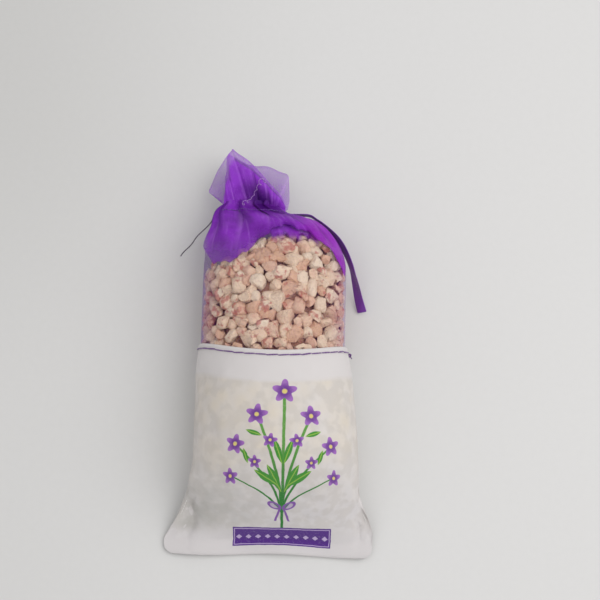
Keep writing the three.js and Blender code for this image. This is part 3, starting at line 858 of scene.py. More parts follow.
def lumpField(points, spots):
    field = np.zeros(len(points))
    for spot, strength, size in spots:
        gap = np.linalg.norm(points - spot, axis=1) / (pouch["lumpRadius"] * size)
        field = np.maximum(field, strength * np.clip(1 - gap ** 2, 0, 1) ** pouch["lumpFall"])
    return field


# Cloth pressed inwards onto the lumpy filling; the seam and the hem stay where they are
def pressCloth(piece, points, held, core):
    scale = pouch["simScale"]
    setPoints(piece, toFrame(points) * scale)
    group = piece.vertex_groups.new(name="held")
    for strength in np.unique(np.round(held, 2)):
        if strength > 0:
            chosen = np.nonzero(np.round(held, 2) == strength)[0].tolist()
            group.add(chosen, float(strength), "REPLACE")
    setPoints(core, pointsOf(core) * scale)
    core.modifiers.new("Collision", "COLLISION")
    setAll(core.collision, pouch["core"])
    cloth = piece.modifiers.new("Cloth", "CLOTH")
    setAll(cloth.settings, pouch["cloth"])
    cloth.settings.effector_weights.gravity = pouch["gravity"]
    setAll(cloth.collision_settings, pouch["contact"])
    setAll(cloth.point_cache, {"frame_start": 1, "frame_end": pouch["simFrames"]})
    for step in range(1, pouch["simFrames"] + 1):
        bpy.context.scene.frame_set(step)
    makeActive(piece)
    bpy.ops.object.modifier_apply(modifier=cloth.name)
    pressed = fromFrame(pointsOf(piece) / scale)
    bpy.context.scene.frame_set(1)
    far = np.linalg.norm(pressed - points, axis=1)
    print(f"cloth moved {far.mean():.2f} mm on average, {far.max():.2f} mm at most")
    return pressed


# Keeps the pressed cloth outside the organza and the granules
def heldOut(points, pressed, outward, most):
    inward = -((pressed - points) * outward).sum(-1)
    return pressed + outward * np.maximum(0, inward - most)[:, None]


# Each point's move averaged with its neighbours' in the grid
def softened(move, row, column, times):
    grid = np.zeros((row.max() + 1, column.max() + 1, 3))
    grid[row, column] = move
    for _ in range(times):
        wide = np.pad(grid, ((1, 1), (1, 1), (0, 0)), "edge")
        around = wide[:-2, 1:-1] + wide[2:, 1:-1] + wide[1:-1, :-2] + wide[1:-1, 2:]
        grid = (2 * grid + around) / 6
    return grid[row, column]


# The first and the last column of a tube's grid brought together
def seamed(points, across, row):
    left = np.nonzero(across < 1e-6)[0]
    for level in np.unique(row[left]):
        pair = left[row[left] == level]
        points[pair] = points[pair].mean(0)
    return points


def outwardOf(piece, points, y):
    normals = normalsOf(piece)
    middle = np.stack([centreAt(y), y, seamAt(y)], -1)
    return normals * np.sign((normals * (points - middle)).sum())


def makePouch():
    random = np.random.default_rng(pouch["seed"])
    spots = lumpPlaces(random)
    core, corePoints, *_ = pouchGrid("pouchCore", pouch["coreInset"], False)
    setPoints(core, toFrame(corePoints))
    mergeDoubles(core, 1e-7)
    corePoints = fromFrame(pointsOf(core))
    lift = lumpField(corePoints, spots) * pouch["lumpHeight"]
    setPoints(core, toFrame(corePoints + normalsOf(core) * lift[:, None]))
    piece, points, front, across, row, y, top = pouchGrid("pouchCloth", 0, True)
    points[:, 2] = np.maximum(points[:, 2], pouch["floorStart"])
    setPoints(piece, toFrame(points))
    gap = top - y
    toSeam = (1 - np.abs(np.sin((across - 0.5) * math.pi))) * halfWidthAt(y)
    held = np.maximum(1 - smooth(y, 6, 15), 1 - smooth(gap, 3, 12))
    held = np.maximum(held, 1 - smooth(toSeam, 0.3, 2.5))
    held = np.maximum(held, (row > pouch["rows"]) * 1.0)
    flatAcross = np.zeros(len(row))
    for level in range(row.max() + 1):
        for half in (True, False):
            chosen = np.nonzero((row == level) & (front == half))[0]
            order = chosen[np.argsort(across[chosen])]
            run = runOf(points[order])
            flatAcross[order] = (run / run[-1] - 0.5) * bag["width"]
    u = np.where(front, 0.25, 0.75) + flatAcross / pouch["flatScale"]
    setFlatCloth(piece, u, y / pouch["flatScale"])
    outward = outwardOf(piece, points, y)
    shaped = pressCloth(piece, points, held, core)
    column = np.round(np.where(front, across, 2 - across) / 2 * pouch["columns"]).astype(int)
    shaped = points + softened(shaped - points, row, column, pouch["softenings"])
    most = mix(pouch["mostInAtHem"], pouch["mostIn"], smooth(gap, 6, 16) * smooth(y, 6, 16))
    shaped = heldOut(points, shaped, outward, most)
    bpy.data.objects.remove(core)
    shaped[:, 2] = np.maximum(shaped[:, 2], pouch["floorGap"])
    # the doubled hem stands a little proud of the single cloth below it
    proud = smooth(y - top + bag["hemDepth"], -0.5, 0.5) * pouch["hemStep"]
    shaped[:, 2] += np.where(front, proud, 0) * (row <= pouch["rows"])
    # the flat margin at the bottom waves a little
    margin = 1 - smooth(y, *pouch["marginRun"])
    shaped[:, 2] += margin * (0.5 * np.sin(shaped[:, 0] * 0.21 + 0.6) + 0.5) * pouch["marginLift"]
    shaped[:, 1] += margin * pouch["marginWave"] * np.sin(shaped[:, 0] * 0.12 + 1.2)
    setPoints(piece, toFrame(seamed(shaped, across, row)))
    paint(piece, "press", lumpField(points, spots) * (1 - held) * np.where(front, 1, 0.5))
    paint(piece, "hem", smooth(y - top + bag["hemDepth"], -0.6, 0.6))
    paint(piece, "seam", 1 - smooth(y, 7, 13))
    paint(piece, "drift", centreAt(y) - centreAt(7.0))
    mergeDoubles(piece, 1e-6)
    subdivide(piece)
    dress(piece, clothFinish())
    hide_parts("pouch_front", "pouch_back")
    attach(piece, "bag")
    print("pouch made,", len(spots), "lumps")
    return piece


# Printed posy: five-petalled blossoms on fanned stems, tied with a bow, over a purple bar of lozenges
posy = {
    "middle": 4.5, "base": 15.5, "barLow": 3.6, "barHigh": 10.6, "barHalf": 17.5, "lozengePitch": 3.4,
    "lozengeSize": 0.85, "lozengeReach": 16.6, "bowHeight": 17.2, "bowReach": 2.6, "bowSize": (2.5, 1.15),
    "bowTail": 4.4,
    "stem": ink(96, 150, 70), "stemDark": ink(42, 120, 48), "leaf": ink(66, 140, 52),
    "leafLight": ink(140, 178, 74), "petal": ink(108, 62, 142), "petalLight": ink(160, 108, 184),
    "eye": ink(214, 196, 120), "bar": ink(84, 46, 130), "barLine": ink(190, 170, 208),
    "bow": ink(128, 84, 160),
    "stems": [(0, 55, 1.0), (8.5, 47, 0.95), (15.5, 37, 0.9), (17.5, 27, 0.95)],
    "blossoms": [(0, 55, 4.1, 0.0), (8.6, 47, 3.6, 0.6), (15.6, 37.2, 3.3, 1.1), (17.8, 27, 2.7, 0.3),
                 (4.2, 38.5, 2.4, 0.9), (9.2, 31.5, 2.2, 0.2)],
    "leaves": [(0.5, 22, 62, 10, 2.6), (1.5, 24, 32, 9.5, 2.4), (0.3, 31, 72, 8.5, 2.0),
               (6.8, 40, 20, 5.5, 1.6), (11.5, 31, 75, 5, 1.5)],
}


def blossomMask(x, y, spot):
    across, along, size, turn = spot
    right, up = x - across, y - along
    reach = (right * right + up * up).maths("SQRT")
    petals = ((right.maths("ARCTAN2", up)) * 5 + turn).maths("COSINE") * 0.22 + 0.78
    return (reach / petals - size).below(0, 0.14), reach / size


def leafMask(x, y, spot):
    across, along, heading, length, width = spot
    cosine, sine = math.cos(math.radians(heading)), math.sin(math.radians(heading))
    share = ((x - across) * cosine + (y - along) * sine) / length
    side = (y - along) * cosine - (x - across) * sine
    half = share * (1 - share) * (2 * width)
    return (abs(side) - half).below(0, 0.1), abs(side)


def stemMask(x, y, spot):
    reach, top, width = spot
    share = ((y - posy["base"]) / (top - posy["base"])) | 0
    middle = share ** 1.5 * reach
    inside = (y - top).below(0, 0.2) * (posy["base"] - y).below(5, 0.2)
    return (abs(x - middle) - width / 2).below(0, 0.12) * inside


def printedOn(flow, x, y, cloth):
    wobble = flow.noise(flow.place(), 420, 2) - 0.5
    x = x - posy["middle"] + wobble * 0.35
    y = y + wobble * 0.3
    mirrored = abs(x)
    worn = flow.noise(flow.place(), 1500, 3).ramp(0.25, 0.5, 0.9, 1)
    stems = None
    for spot in posy["stems"]:
        mask = stemMask(mirrored, y, spot)
        stems = mask if stems is None else stems | mask
    painted = (stems * worn).colour(cloth, y.ramp(16, 44).colour(posy["stemDark"], posy["stem"]))
    for spot in posy["leaves"]:
        mask, side = leafMask(mirrored, y, spot)
        green = side.below(0.16, 0.12).colour(posy["leaf"], posy["leafLight"])
        painted = (mask * worn).colour(painted, green)
    for spot in posy["blossoms"]:
        mask, reach = blossomMask(mirrored, y, spot)
        petal = reach.ramp(0.25, 0.95).colour(posy["petal"], posy["petalLight"])
        petal = reach.below(0.2, 0.05).colour(petal, posy["eye"])
        painted = (mask * worn).colour(painted, petal)
    bowUp = y - posy["bowHeight"]
    wide, tall = posy["bowSize"]
    loop = ((mirrored - posy["bowReach"]) / wide) ** 2 + ((bowUp - mirrored * 0.28) / tall) ** 2
    bow = loop.below(1, 0.14) - loop.below(0.35, 0.1) * 0.6
    tails = (abs(mirrored - 0.6 + bowUp * 0.42) - 0.42).below(0, 0.1) * bowUp.below(0, 0.1)
    tails = tails * (bowUp + posy["bowTail"]).ramp(-0.1, 0.1)
    painted = ((bow | tails) * worn).colour(painted, posy["bow"])
    half = (posy["barHigh"] - posy["barLow"]) / 2
    fromMiddle = abs(y - (posy["barLow"] + half))
    inward = (posy["barHalf"] - mirrored) & (half - fromMiddle)
    bar = inward.ramp(-0.06, 0.06)
    line = inward.ramp(0.42, 0.5) - inward.ramp(0.66, 0.74)
    cell = ((x / posy["lozengePitch"]).maths("FRACT") - 0.5) * posy["lozengePitch"]
    lozenge = (abs(cell) * 0.8 + fromMiddle).below(posy["lozengeSize"], 0.07)
    lozenge = lozenge * mirrored.below(posy["lozengeReach"], 0.1)
    painted = (bar * worn).colour(painted, posy["bar"])
    return ((line | lozenge) * bar).colour(painted, posy["barLine"])


def clothFinish():
    material, flow = newFinish("whiteCloth")
    place = flow.place()
    across, along = flow.flatCloth().axes()
    x = (across - 0.25) * pouch["flatScale"] + flow.attribute("drift")
    y = along * pouch["flatScale"]
    press = flow.attribute("press")
    hem = flow.attribute("hem")
    seam = flow.attribute("seam")
    mottle = flow.noise(place, 95, 3)
    patch = flow.noise(place, 190, 2)
    single = (1 - hem) * (1 - seam)
    warmth = (press * 0.45 + mottle.ramp(0.15, 0.7) * 0.7) * y.ramp(16, 40) * single
    cloth = (warmth & 1).colour(pouch["white"], pouch["warm"])
    cloth = (patch.ramp(0.35, 0.7) * single * 0.35 + seam * 0.3).colour(cloth, pouch["cool"])
    # painted shade between the lumps: darker where the noise is low and the granules press the cloth least
    betweenLumpShade = flow.noise(place, 240, 2, 0.45) + press * 0.12
    cloth = (betweenLumpShade.ramp(0.62, 0.42) * single * 0.3).colour(cloth, pouch["between"])
    # painted shade: the lower left of the pouch, which faces away from the light, is drawn darker in
    # patches
    low = y.ramp(38, 14) * x.ramp(6, -24) * patch.ramp(0.2, 0.75, 0.35, 1) * single
    cloth = (low * 0.7).colour(cloth, pouch["paintedShade"])
    weave = (x * pouch["threads"]).maths("SINE") * (y * pouch["threads"]).maths("SINE")
    cloth = (weave.ramp(-1, 1) * 0.10).colour(cloth, pouch["weft"])
    printed = printedOn(flow, x, y, cloth)
    base = across.below(0.5, 0.001).colour(cloth, printed)
    fibre = flow.noise(place, 2200, 3)
    height = weave * 0.5 + fibre * 0.6
    flow.finish(**{"Base Color": base, "Roughness": 0.9, "Normal": flow.bump(height, 0.00012, 0.7),
                   "Sheen Weight": 0.15, "Specular IOR Level": 0.2})
    return material


pouchPiece = makePouch()

# Organza: a sheer tube from inside the hem, tucked over itself at the shoulders and gathered at the neck
organza = {
    "columns": 168, "windowRows": 34, "returnRows": 8, "lobeRows": 18, "neckRows": 8,
    "inset": 1.25, "lap": 6, "neckLow": 122.5, "neckHigh": 128.2, "pleats": 7, "pleatRun": 2.1,
    "pleatRise": 0.8, "flatScale": 200,
    "foldLine": [(-27, 112), (-24.9, 107), (-22.4, 102), (-18.1, 100.7), (-14.6, 101.6), (-9.7, 104.8),
                 (-5.4, 109.3), (-1.9, 112), (2.1, 114.7), (5.5, 116.4), (10.1, 115.5), (15.2, 113.2),
                 (19.9, 108.9), (23, 104.3), (26, 99)],
    "foldHalf": 26.5, "foldWaves": [(0.6, 0.95, 0.5), (0.4, 2.1, 1.0)], "rootShare": 0.72,
    "returnPuff": 0.9, "lobePuff": 3.0, "neckPuff": 0.5, "crease": 0.175, "gatherRun": (106, 123),
    "neckShift": -1.0, "shiftRun": (117, 125), "lobeReach": 1.8, "lobeRun": (101, 106),
    "lobeEnd": (110, 119), "rightTuck": 8, "tuckRun": (121.3, 123.8), "neckFlare": 1.2, "lowest": 0.6,
    "flatLength": 95, "veilPlain": 0.03, "veilSide": 0.24, "leftSide": 1.1, "rightSide": 0.6,
    "veilGather": 0.7, "veilTop": 0.8, "topWaves": [(0.9, 0.83, 0.4), (0.7, 1.9, 1)], "topRun": (110, 114),
    "veilRim": (0.36, 0.7), "veilLobe": 0.85, "veilReturn": 0.4, "veilMost": 0.88,
    "hollowRun": (119, 124.5), "threads": 16.5,
    "streaks": (120, 9, 1), "rightRun": (0.004, 0.016),
    "violet": ink(152, 58, 208), "violetDeep": ink(124, 40, 172), "shimmer": ink(196, 130, 236),
    "warmViolet": ink(154, 40, 184), "shade": ink(52, 0, 92),
}


def organzaFinish():
    material, flow = newFinish("sheerOrganza")
    place = flow.place()
    uv = flow.flatCloth()
    across, along = uv.axes()
    veil = flow.attribute("veil")
    threads = organza["flatScale"] * organza["threads"]
    yarn = ((across * threads).maths("SINE") | (along * threads).maths("SINE")) * 0.5 + 0.5
    cloud = flow.noise(place, 150, 3)
    glint = flow.noise(place, 900, 2)
    # painted glints: small spots are drawn lighter violet, over a random cloudy tone
    tone = cloud.ramp(0.3, 0.7) * 0.6 + glint.ramp(0.55, 0.75) * 0.4
    base = tone.colour(organza["violetDeep"], organza["violet"])
    right = place.axes()[0].ramp(*organza["rightRun"])
    # painted shade: the fold attribute darkens the pleat troughs, the hollow under the neck and the
    # ruffle's hollow and crease towards the shade colour
    fold = flow.attribute("fold")
    base = (right * 0.8).colour(base, organza["warmViolet"])
    base = fold.colour(base, organza["shade"])
    # painted highlights: light streaks, glinting specks and the pleat crests are drawn in the shimmer
    # colour, less so where shade is painted and on the right
    streak = flow.streaks(uv, organza["streaks"]).ramp(0.52, 0.78)
    glintSpeck = flow.noise(place, 2300, 2).ramp(0.62, 0.76)
    shine = streak * 0.4 + glintSpeck * 0.35 + flow.attribute("crest") * 0.55
    shine = shine * (1 - fold * 0.8) * (1 - right * 0.45)
    base = (shine & 0.75).colour(base, organza["shimmer"])
    alpha = veil * (yarn * 0.3 + 0.82) * (cloud * 0.3 + 0.85)
    flow.finish(**{"Base Color": base, "Roughness": 0.5, "Alpha": alpha & 0.99,
                   "Normal": flow.bump(yarn, 0.00006, 0.5), "Specular IOR Level": 0.1})
    return material


def pleatWave(across, pleats):
    return np.sin(2 * math.pi * pleats * across + 1.2 * np.sin(across * 7.3 + 0.8))


def makeOrganzaWindow():
    counts = [organza[key] for key in ("windowRows", "returnRows", "lobeRows", "neckRows")]
    rows = sum(counts)
    piece, share, along, front, across, angle = tubeGrid("organzaWindow", organza["columns"], rows)
    row = along * rows
    low = hemAt(front, angle) - organza["lap"]
    sideways = np.sin(angle) * organza["foldHalf"]
    fold = np.interp(sideways, *zip(*organza["foldLine"])) + uneven(sideways, organza["foldWaves"])
    root = mix(fold, organza["neckLow"], organza["rootShare"])
    # rows up to a are the window, to b the cloth that returns to the fold, to c the lobe, to d the neck
    a, b, c, d = np.cumsum(counts)
    tucked = np.where(
        row <= a, mix(low, root, row / a),
        np.where(row <= b, mix(root, fold, (row - a) / (b - a)),
                 mix(fold, organza["neckLow"], np.clip((row - b) / (c - b), 0, 1))))
    plain = mix(low, organza["neckLow"], np.clip(row / c, 0, 1))
    hold = np.where(front, smooth(across, 0.0, 0.1) * (1 - smooth(across, 0.92, 1)), 0)
    y = mix(plain, tucked, hold)
    neck = np.clip((row - c) / (d - c), 0, 1)
    y = np.where(row > c, mix(organza["neckLow"], organza["neckHigh"], neck), y)
    back = np.clip((row - a) / (b - a), 0, 1)
    lobe = np.clip((row - b) / (c - b), 0, 1)
    puff = organza["returnPuff"] * smooth(back, 0, 1) + organza["neckPuff"] * lobe
    puff += organza["lobePuff"] * np.sin(math.pi * lobe ** 0.7)
    puff *= hold * (1 - neck)
    crease = organza["crease"] * np.sin(across * 31 + y * 0.31) * np.sin(y * 0.23 + across * 9)
    points = facePoint(front, angle, np.minimum(y, bag["length"]), organza["inset"], puff + crease)
    points[:, 1] = y
    gather = np.where(row > c, 1, smooth(plain, *organza["gatherRun"]))
    wave = pleatWave(across, organza["pleats"])
    edge = np.minimum(across, 1 - across)
    points[:, 0] += organza["pleatRun"] * gather * wave * smooth(edge, 0.03, 0.2)
    points[:, 0] += organza["neckShift"] * smooth(y, *organza["shiftRun"])
    tuckIn = smooth(y, *organza["tuckRun"]) * smooth(across, 0.45, 0.97) * (1 - 0.9 * neck)
    points[:, 0] -= organza["rightTuck"] * tuckIn
    overhang = np.clip(row - b, 0, 1) * smooth(across, 0.02, 0.1) * (1 - smooth(across, 0.12, 0.3)) * front
    overhang = overhang * smooth(y, *organza["lobeRun"]) * (1 - smooth(y, *organza["lobeEnd"]))
    points[:, 0] -= organza["lobeReach"] * overhang
    points[:, 2] -= organza["pleatRise"] * gather * wave * np.where(front, 1, -1)
    flare = neck ** 2 * organza["neckFlare"]
    points[:, 2] += np.where(front, flare, -flare)
    points[:, 2] = np.maximum(points[:, 2], organza["lowest"])
    setPoints(piece, toFrame(seamed(points, across, np.round(row))))
    setFlatCloth(piece, share * 2 * bag["width"] / organza["flatScale"],
                 along * organza["flatLength"] / organza["flatScale"])
    # how dense the cloth looks: thin over the granules, denser at the sides, the fold and the gathers
    side = 1 - smooth(edge, 0.02, 0.26)
    side = side * np.where(across > 0.5, organza["rightSide"], organza["leftSide"])
    ragged = smooth(y + uneven(sideways, organza["topWaves"]), *organza["topRun"]) * (row <= a)
    veil = (organza["veilPlain"] + organza["veilSide"] * side + organza["veilGather"] * gather
            + organza["veilTop"] * ragged)
    rim = mix(*organza["veilRim"], smooth(across, 0.4, 0.7))
    returning = organza["veilReturn"] * smooth(row, a - 1, a + 3)
    tuck = np.where(row <= b, returning, mix(rim, organza["veilLobe"], smooth(row, b, b + 10)))
    veil = np.maximum(veil, np.where(front, hold * tuck, returning))
    # the hollow under the neck is denser cloth and also carries painted shade
    hollow = np.exp(-((across - 0.62) / 0.2) ** 2) * smooth(y, *organza["hollowRun"]) * front
    paint(piece, "veil", np.clip(veil, 0, organza["veilMost"]) + 0.2 * hollow)
    # painted highlight on the pleat crests; painted shade in the pleat troughs and the hollow
    paint(piece, "crest", np.clip(wave, 0, 1) ** 8 * gather * smooth(row, b, b + 4))
    paint(piece, "fold", np.maximum(np.clip(-wave, 0, 1) ** 2 * gather * 0.7, hollow * 0.9))
    mergeDoubles(piece, 1e-7)
    subdivide(piece)
    dress(piece, bpy.data.materials["sheerOrganza"])
    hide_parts("organza_front", "organza_back")
    toFrame((-7.1, 123.2, 14))
    toFrame((-7.1, 128, 14))
    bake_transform(piece)
    print("organza window made")
    return piece


# Ruffle plies above the neck: free edges in bag millimetres, left to right
ruffle = {
    "columns": 110, "rows": 26, "base": 125.0, "flatWidth": 75, "flatLength": 24, "middle": -8.2,
    "waist": 22.6, "fullHeight": 14, "ripple": 0.5, "scallop": 0.35, "hollowPlace": (0.64, 0.2),
    "hollowSize": (0.22, 0.32), "creasePlace": 0.8, "creaseSize": 0.035,
    "front": {"edge": [(-19.3, 131), (-19.2, 136), (-18.9, 141), (-18.4, 144.8), (-16.9, 148),
                       (-12.5, 144.2), (-7.2, 139.3), (-1.9, 134.3), (1.9, 129.4), (3.3, 126.4)],
              "pleats": 6, "run": 0.45, "rise": -0.4, "veil": 0.95, "edgeVeil": 0.55, "fade": (0.7, 0.88),
              "shade": 1.0},
    "back": {"edge": [(-20.5, 129.6), (-25.9, 133), (-23.0, 141.2), (-19.0, 147.6), (-14.3, 146.2),
                      (-7.9, 143.5), (-2.1, 142.9), (3.9, 141.1), (4.7, 130.3), (3.9, 126.8)],
             "pleats": 4, "run": 0.3, "rise": 0.4, "veil": 0.62, "edgeVeil": 0.44, "fade": (0.25, 1),
             "shade": 0},
}


# A run of values with slightly softened corners
def cornered(share, values):
    spots = np.linspace(0, 1, len(values))
    total = 0
    for offset in (-0.012, 0, 0.012):
        total = total + np.interp(share + offset, spots, values)
    return total / 3


def makeRufflePly(name, node, ply, lift):
    settings = ruffle[ply]
    piece, across, along = sheetGrid(name, ruffle["columns"], ruffle["rows"])
    corners = np.array(settings["edge"])
    level = 0 * across
    edge = np.stack([cornered(across, corners[:, 0]), cornered(across, corners[:, 1]), level], -1)
    waistAcross = ruffle["middle"] + (across - 0.5) * ruffle["waist"]
    points = mix(np.stack([waistAcross, level + ruffle["base"], level], -1), edge, along[:, None])
    wave = pleatWave(across, settings["pleats"])
    inside = np.sin(across * math.pi) ** 0.4
    loosen = 1 - 0.55 * smooth(along, 0.55, 1)
    points[:, 0] += settings["run"] * wave * inside * loosen * (0.6 + 0.4 * smooth(along, 0, 0.2))
    ripple = ruffle["ripple"] * np.sin(across * 17 + along * 3) * along
    tall = np.clip((edge[:, 1] - ruffle["base"]) / ruffle["fullHeight"], 0, 1)
    pleat = settings["rise"] * wave * (0.5 + 0.5 * along)
    points[:, 2] = bag["seamHeight"] + lift(along, tall) + pleat + ripple
    points[:, 1] += ruffle["scallop"] * np.sin(across * 23) * along
    setPoints(piece, toFrame(points))
    setFlatCloth(piece, across * ruffle["flatWidth"] / organza["flatScale"],
                 along * ruffle["flatLength"] / organza["flatScale"])
    rim = smooth(along, 0.93, 0.98)
    veil = mix(settings["veil"], settings["edgeVeil"], smooth(along, *settings["fade"])) + 0.1 * rim
    # painted shade in a hollow of the front ply, where the cloth is also denser
    fromHollow = (np.stack([across, along], -1) - ruffle["hollowPlace"]) / ruffle["hollowSize"]
    hollow = np.exp(-(fromHollow ** 2).sum(1)) * settings["shade"]
    paint(piece, "veil", veil + 0.15 * hollow)
    # painted highlight on the pleat crests; painted shade along a crease line near the free edge
    paint(piece, "crest", np.clip(wave, 0, 1) ** 8 * 0.3)
    creaseShade = np.exp(-((along - ruffle["creasePlace"]) / ruffle["creaseSize"]) ** 2)
    creaseShade = creaseShade * smooth(across, 0.36, 0.46) * 0.7
    paint(piece, "fold", np.maximum(hollow, creaseShade * settings["shade"]))
    subdivide(piece)
    dress(piece, bpy.data.materials["sheerOrganza"])
    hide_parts(node)
    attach(piece, "ruffle")
    print(name, "made")
    return piece


# How high each ply stands over the seam, from the waist to its edge
def frontLift(share, tall):
    return 1.3 + 4.6 * tall * np.sin(share * math.pi * 0.75) ** 2


def backLift(share, _):
    return -1.3 - 0.8 * share - 3.2 * share ** 2


organzaFinish()
organzaWindow = makeOrganzaWindow()
ruffleFront = makeRufflePly("ruffleFront", "ruffle_front", "front", frontLift)
ruffleBack = makeRufflePly("ruffleBack", "ruffle_back", "back", backLift)

# Sewing: hem stitches on the pouch, the knot at their end, and the channel stitches at the neck
sewing = {
    "hemInset": 1.6, "hemAngle": 1.5, "hemSteps": 600, "stitchLength": 4.2, "stitchGap": -0.4,
    "stitchWidth": 0.5, "stitchLift": 0.42, "stitchDepth": 0.8, "slant": (0.04, 0.03),
    "lengths": (0.95, 1.08), "widths": (0.85, 1.15), "wander": 0.00005, "seed": 3, "twists": 7000,
    "seamTwists": 6000, "knotShift": (-0.0009, 0, 0.0002), "knotThread": 0.00036,
    "knotReach": (0.00042, 0.00018), "knotTurns": 3,
    "upper": [(-12.7, 126.4, 17.2), (-10.8, 127.6, 18.6), (-9.0, 129.4, 20.2), (-7.0, 132.6, 20.9),
              (-4.8, 135.4, 20.2)],
    "upperLoop": 0.0009, "lowerLoop": 0.0003, "lowerHeight": 123.6, "lowerReach": (-48, 34),
    "lowerSpots": 9, "lowerInset": -0.6, "channelSteps": 150, "channelThread": 0.00024,
    "channelGap": 0.00015, "channelBob": 0.0001,
    "purple": (ink(78, 44, 100), ink(138, 96, 160)), "lilac": (ink(140, 84, 176), ink(196, 150, 214)),
    "violet": (ink(70, 22, 110), ink(120, 58, 168)), "seam": (ink(206, 202, 198), ink(232, 230, 226)),
}


def stitchShape():
    deselectAll()
    bpy.ops.mesh.primitive_uv_sphere_add(segments=8, ring_count=6, radius=0.5)
    piece = bpy.context.active_object
    bpy.ops.object.mode_set(mode="EDIT")
    bpy.ops.mesh.select_all(action="SELECT")
    bpy.ops.transform.rotate(value=math.pi / 2, orient_axis="Y", center_override=(0, 0, 0))
    bpy.ops.object.mode_set(mode="OBJECT")
    points = pointsOf(piece)
    points[:, 0] = np.sign(points[:, 0]) * 0.5 * np.abs(2 * points[:, 0]) ** 0.5
    setPoints(piece, points)
    smoothShaded(piece)
    return piece


def clothTree(piece):
    return BVHTree.FromObject(piece, bpy.context.evaluated_depsgraph_get())


def makeHemStitches(tree, front, name, node):
    random = np.random.default_rng(sewing["seed"] + front)
    shape = stitchShape()
    angle = np.linspace(-sewing["hemAngle"], sewing["hemAngle"], sewing["hemSteps"])
    fronts = np.full(len(angle), bool(front))
    line = facePoint(fronts, angle, hemAt(fronts, angle) - sewing["hemInset"], 0)
    spots = []
    for point in toFrame(line):
        where, normal, *_ = tree.find_nearest(Vector(point))
        spots.append((*where, *normal))
    spots = np.array(spots)
    run = runOf(spots[:, :3])
    pitch = (sewing["stitchLength"] + sewing["stitchGap"]) / 1000
    count = int(run[-1] / pitch)
    pieces = []
    for i in range(count):
        middle = (i + 0.5) * run[-1] / count
        ends = [middle - sewing["stitchLength"] / 2000, middle + sewing["stitchLength"] / 2000]
        a, b, m = ([np.interp(s, run, spots[:, k]) for k in range(6)] for s in (*ends, middle))
        normal = Vector(m[3:]).normalized()
        heading = (Vector(b[:3]) - Vector(a[:3])).normalized()
        sideways = normal.cross(heading).normalized()
        heading = (heading + sideways * random.normal(*sewing["slant"])).normalized()
        sideways = normal.cross(heading).normalized()
        length = (Vector(b[:3]) - Vector(a[:3])).length * random.uniform(*sewing["lengths"])
        width = sewing["stitchWidth"] / 1000 * random.uniform(*sewing["widths"])
        centre = Vector(m[:3]) + normal * width * sewing["stitchLift"]
        centre += sideways * random.normal(0, sewing["wander"])
        axes = (heading * length, sideways * width, normal * width * sewing["stitchDepth"])
        copy = copyOf(shape)
        copy.data.transform(placed(axes, centre))
        pieces.append(copy)
    bpy.data.objects.remove(shape)
    piece = joinAll(pieces, name)
    points = pointsOf(piece)
    points[:, 2] = np.maximum(points[:, 2], 0)
    setPoints(piece, points)
    dress(piece, bpy.data.materials["purpleThread"])
    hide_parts(node)
    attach(piece, "bag")
    print(name, "made,", count, "stitches")


def makeHemKnot():
    low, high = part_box("hem_thread_knot")
    centre = np.array((low + high) / 2) + sewing["knotShift"]
    turn = np.linspace(0, 1, 90)
    loops = 2 * math.pi * sewing["knotTurns"] * turn
    reach = sewing["knotReach"][0] + sewing["knotReach"][1] * np.cos(loops * 1.31)
    line = centre + np.stack([reach * np.cos(loops), reach * np.sin(loops),
                              0.0005 * np.sin(loops * 0.77)], -1)
    tail = centre + np.stack([0.0004 + 0.0006 * turn[:20] * 4, -0.0006 - 0.0008 * turn[:20] * 4,
                              -0.0003 + 0 * turn[:20]], -1)
    piece = threadAlong("hemThreadKnot", np.vstack([line, tail]), sewing["knotThread"])
    dress(piece, bpy.data.materials["purpleThread"])
    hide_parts("hem_thread_knot")
    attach(piece, "bag")


# Points of a thread let down onto the cloth below them
def laidOn(cloths, line, gap):
    high = Vector((0, 0, 1))
    level = np.full(len(line), -1.0)
    for tree in [clothTree(cloth) for cloth in cloths]:
        for i, (x, y, _) in enumerate(line):
            spot = tree.ray_cast(Vector((x, y, 0)) + high, -high)[0]
            level[i] = max(level[i], spot.z + gap) if spot else level[i]
    found = np.nonzero(level > 0)[0]
    level = np.interp(np.arange(len(line)), found, level[found])
    line[:, 2] = np.convolve(np.pad(level, 2, "edge"), np.full(5, 0.2), "valid")
    return line


# Loops of thread that run over the gathers
def makeChannelStitches(name, node, points, cloths, body, loop, finish):
    count = sewing["channelSteps"]
    line = smoothLine(points, count)
    turn = np.linspace(0, 2 * math.pi * len(points) * 1.3, count)
    heading = unit(np.gradient(line, axis=0))
    sideways = np.cross(heading, (0, 0, 1))
    ends = np.abs(np.cos(np.linspace(0.2, math.pi, count))) ** 1.5  # the loops are largest near both ends
    size = loop * (0.15 + 0.85 * ends) * (1 + 0.3 * np.sin(turn * 0.37))
    line = line + sideways * (np.sin(turn) * size)[:, None] + heading * (np.cos(turn) * size * 0.8)[:, None]
    line = laidOn(cloths, line, sewing["channelGap"])
    line[:, 2] += sewing["channelBob"] * np.cos(turn * 0.5)
    piece = threadAlong(name, line, sewing["channelThread"])
    dress(piece, bpy.data.materials[finish])
    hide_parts(node)
    if body == "ruffle":  # the loops that cross the neck are baked into the row frame, not attached to a body
        toFrame((-7.1, 123.2, 14))
        toFrame((-7.1, 128, 14))
        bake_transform(piece)
    else:
        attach(piece, body)


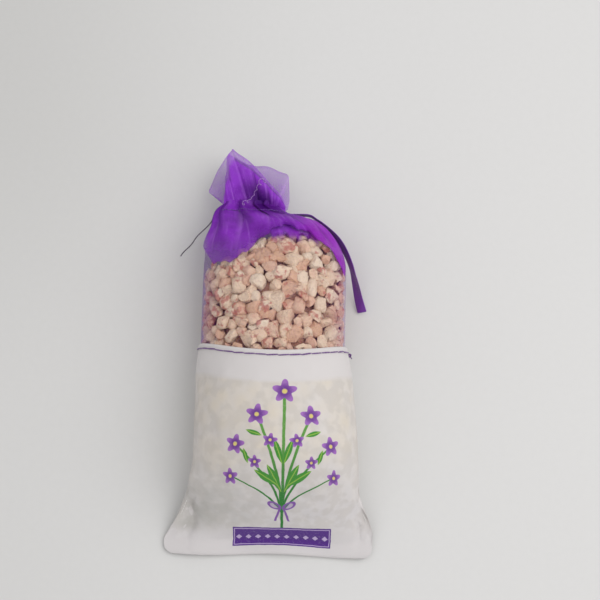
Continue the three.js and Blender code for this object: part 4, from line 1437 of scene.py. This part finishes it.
def makeSewing():
    for colour in ("purple", "lilac", "violet"):
        threadFinish(colour + "Thread", *sewing[colour], sewing["twists"])
    tree = clothTree(pouchPiece)
    makeHemStitches(tree, 1, "hemStitchFront", "hem_stitch_front")
    makeHemStitches(tree, 0, "hemStitchBack", "hem_stitch_back")
    makeHemKnot()
    makeChannelStitches("channelStitchUpper", "channel_stitch_upper", toFrame(sewing["upper"]),
                        [ruffleFront, organzaWindow], "ruffle", sewing["upperLoop"], "lilacThread")
    count = sewing["lowerSpots"]
    angle = np.radians(np.linspace(*sewing["lowerReach"], count))
    height = np.full(count, sewing["lowerHeight"])
    lower = facePoint(np.full(count, True), angle, height, sewing["lowerInset"])
    lower[:, 0] += organza["neckShift"]
    makeChannelStitches("channelStitchLower", "channel_stitch_lower", toFrame(lower), [organzaWindow],
                        "bag", sewing["lowerLoop"], "violetThread")
    seamThread = threadFinish("seamThread", *sewing["seam"], sewing["seamTwists"])
    for node in ("side_seam_thread_left", "side_seam_thread_right", "bottom_seam_thread"):
        dress(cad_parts[node], seamThread)
    print("sewing made")


makeSewing()

# Floor and light
studio = {
    "floor": ink(212, 211, 209), "floorShade": ink(196, 195, 192), "floorSize": 5, "floorDrop": 0.00005,
    "shadeLeft": (0.03, -0.13), "shadeUpper": (0.01, 0.13), "world": 0.76, "worldTint": ink(240, 240, 242),
    "key": 4.4, "keyPlace": (0.52, 0.12, 0.7), "keySize": 0.95,
    "fill": 0.7, "fillPlace": (-0.45, -0.3, 0.7), "fillSize": 0.9, "aim": (0, 0.02, 0.01),
}


def areaLight(name, place, size, power):
    deselectAll()
    bpy.ops.object.light_add(type="AREA", location=place)
    lamp = bpy.context.active_object
    lamp.name = name
    lamp.data.shape = "DISK"
    lamp.data.size = size
    lamp.data.energy = power
    lamp.rotation_euler = (Vector(studio["aim"]) - Vector(place)).to_track_quat("-Z", "Y").to_euler()


def makeStudio():
    deselectAll()
    bpy.ops.mesh.primitive_plane_add(size=studio["floorSize"], location=(0, 0, -studio["floorDrop"]))
    floor = bpy.context.active_object
    floor.name = "paperFloor"
    material, flow = newFinish("paper")
    place = flow.place()
    across, along = place.axes()
    leftward = across.ramp(*studio["shadeLeft"])  # painted shade: the paper is drawn darker to the left and the upper left
    paintedShade = leftward * 0.3 + leftward * along.ramp(*studio["shadeUpper"]) * 0.5
    grain = flow.noise(place, 420, 3)
    flow.finish(**{"Base Color": (grain * 0.2 + paintedShade).colour(studio["floor"], studio["floorShade"]),
                   "Roughness": 0.9, "Specular IOR Level": 0.2})
    dress(floor, material)
    areaLight("keyLight", studio["keyPlace"], studio["keySize"], studio["key"])
    areaLight("fillLight", studio["fillPlace"], studio["fillSize"], studio["fill"])
    world = bpy.data.worlds.new("studioWorld")
    world.use_nodes = True
    ground = world.node_tree.nodes["Background"]
    ground.inputs["Color"].default_value = studio["worldTint"]
    ground.inputs["Strength"].default_value = studio["world"]
    bpy.context.scene.world = world
    bpy.context.scene.view_settings.view_transform = "Standard"
    print("studio made")


makeStudio()
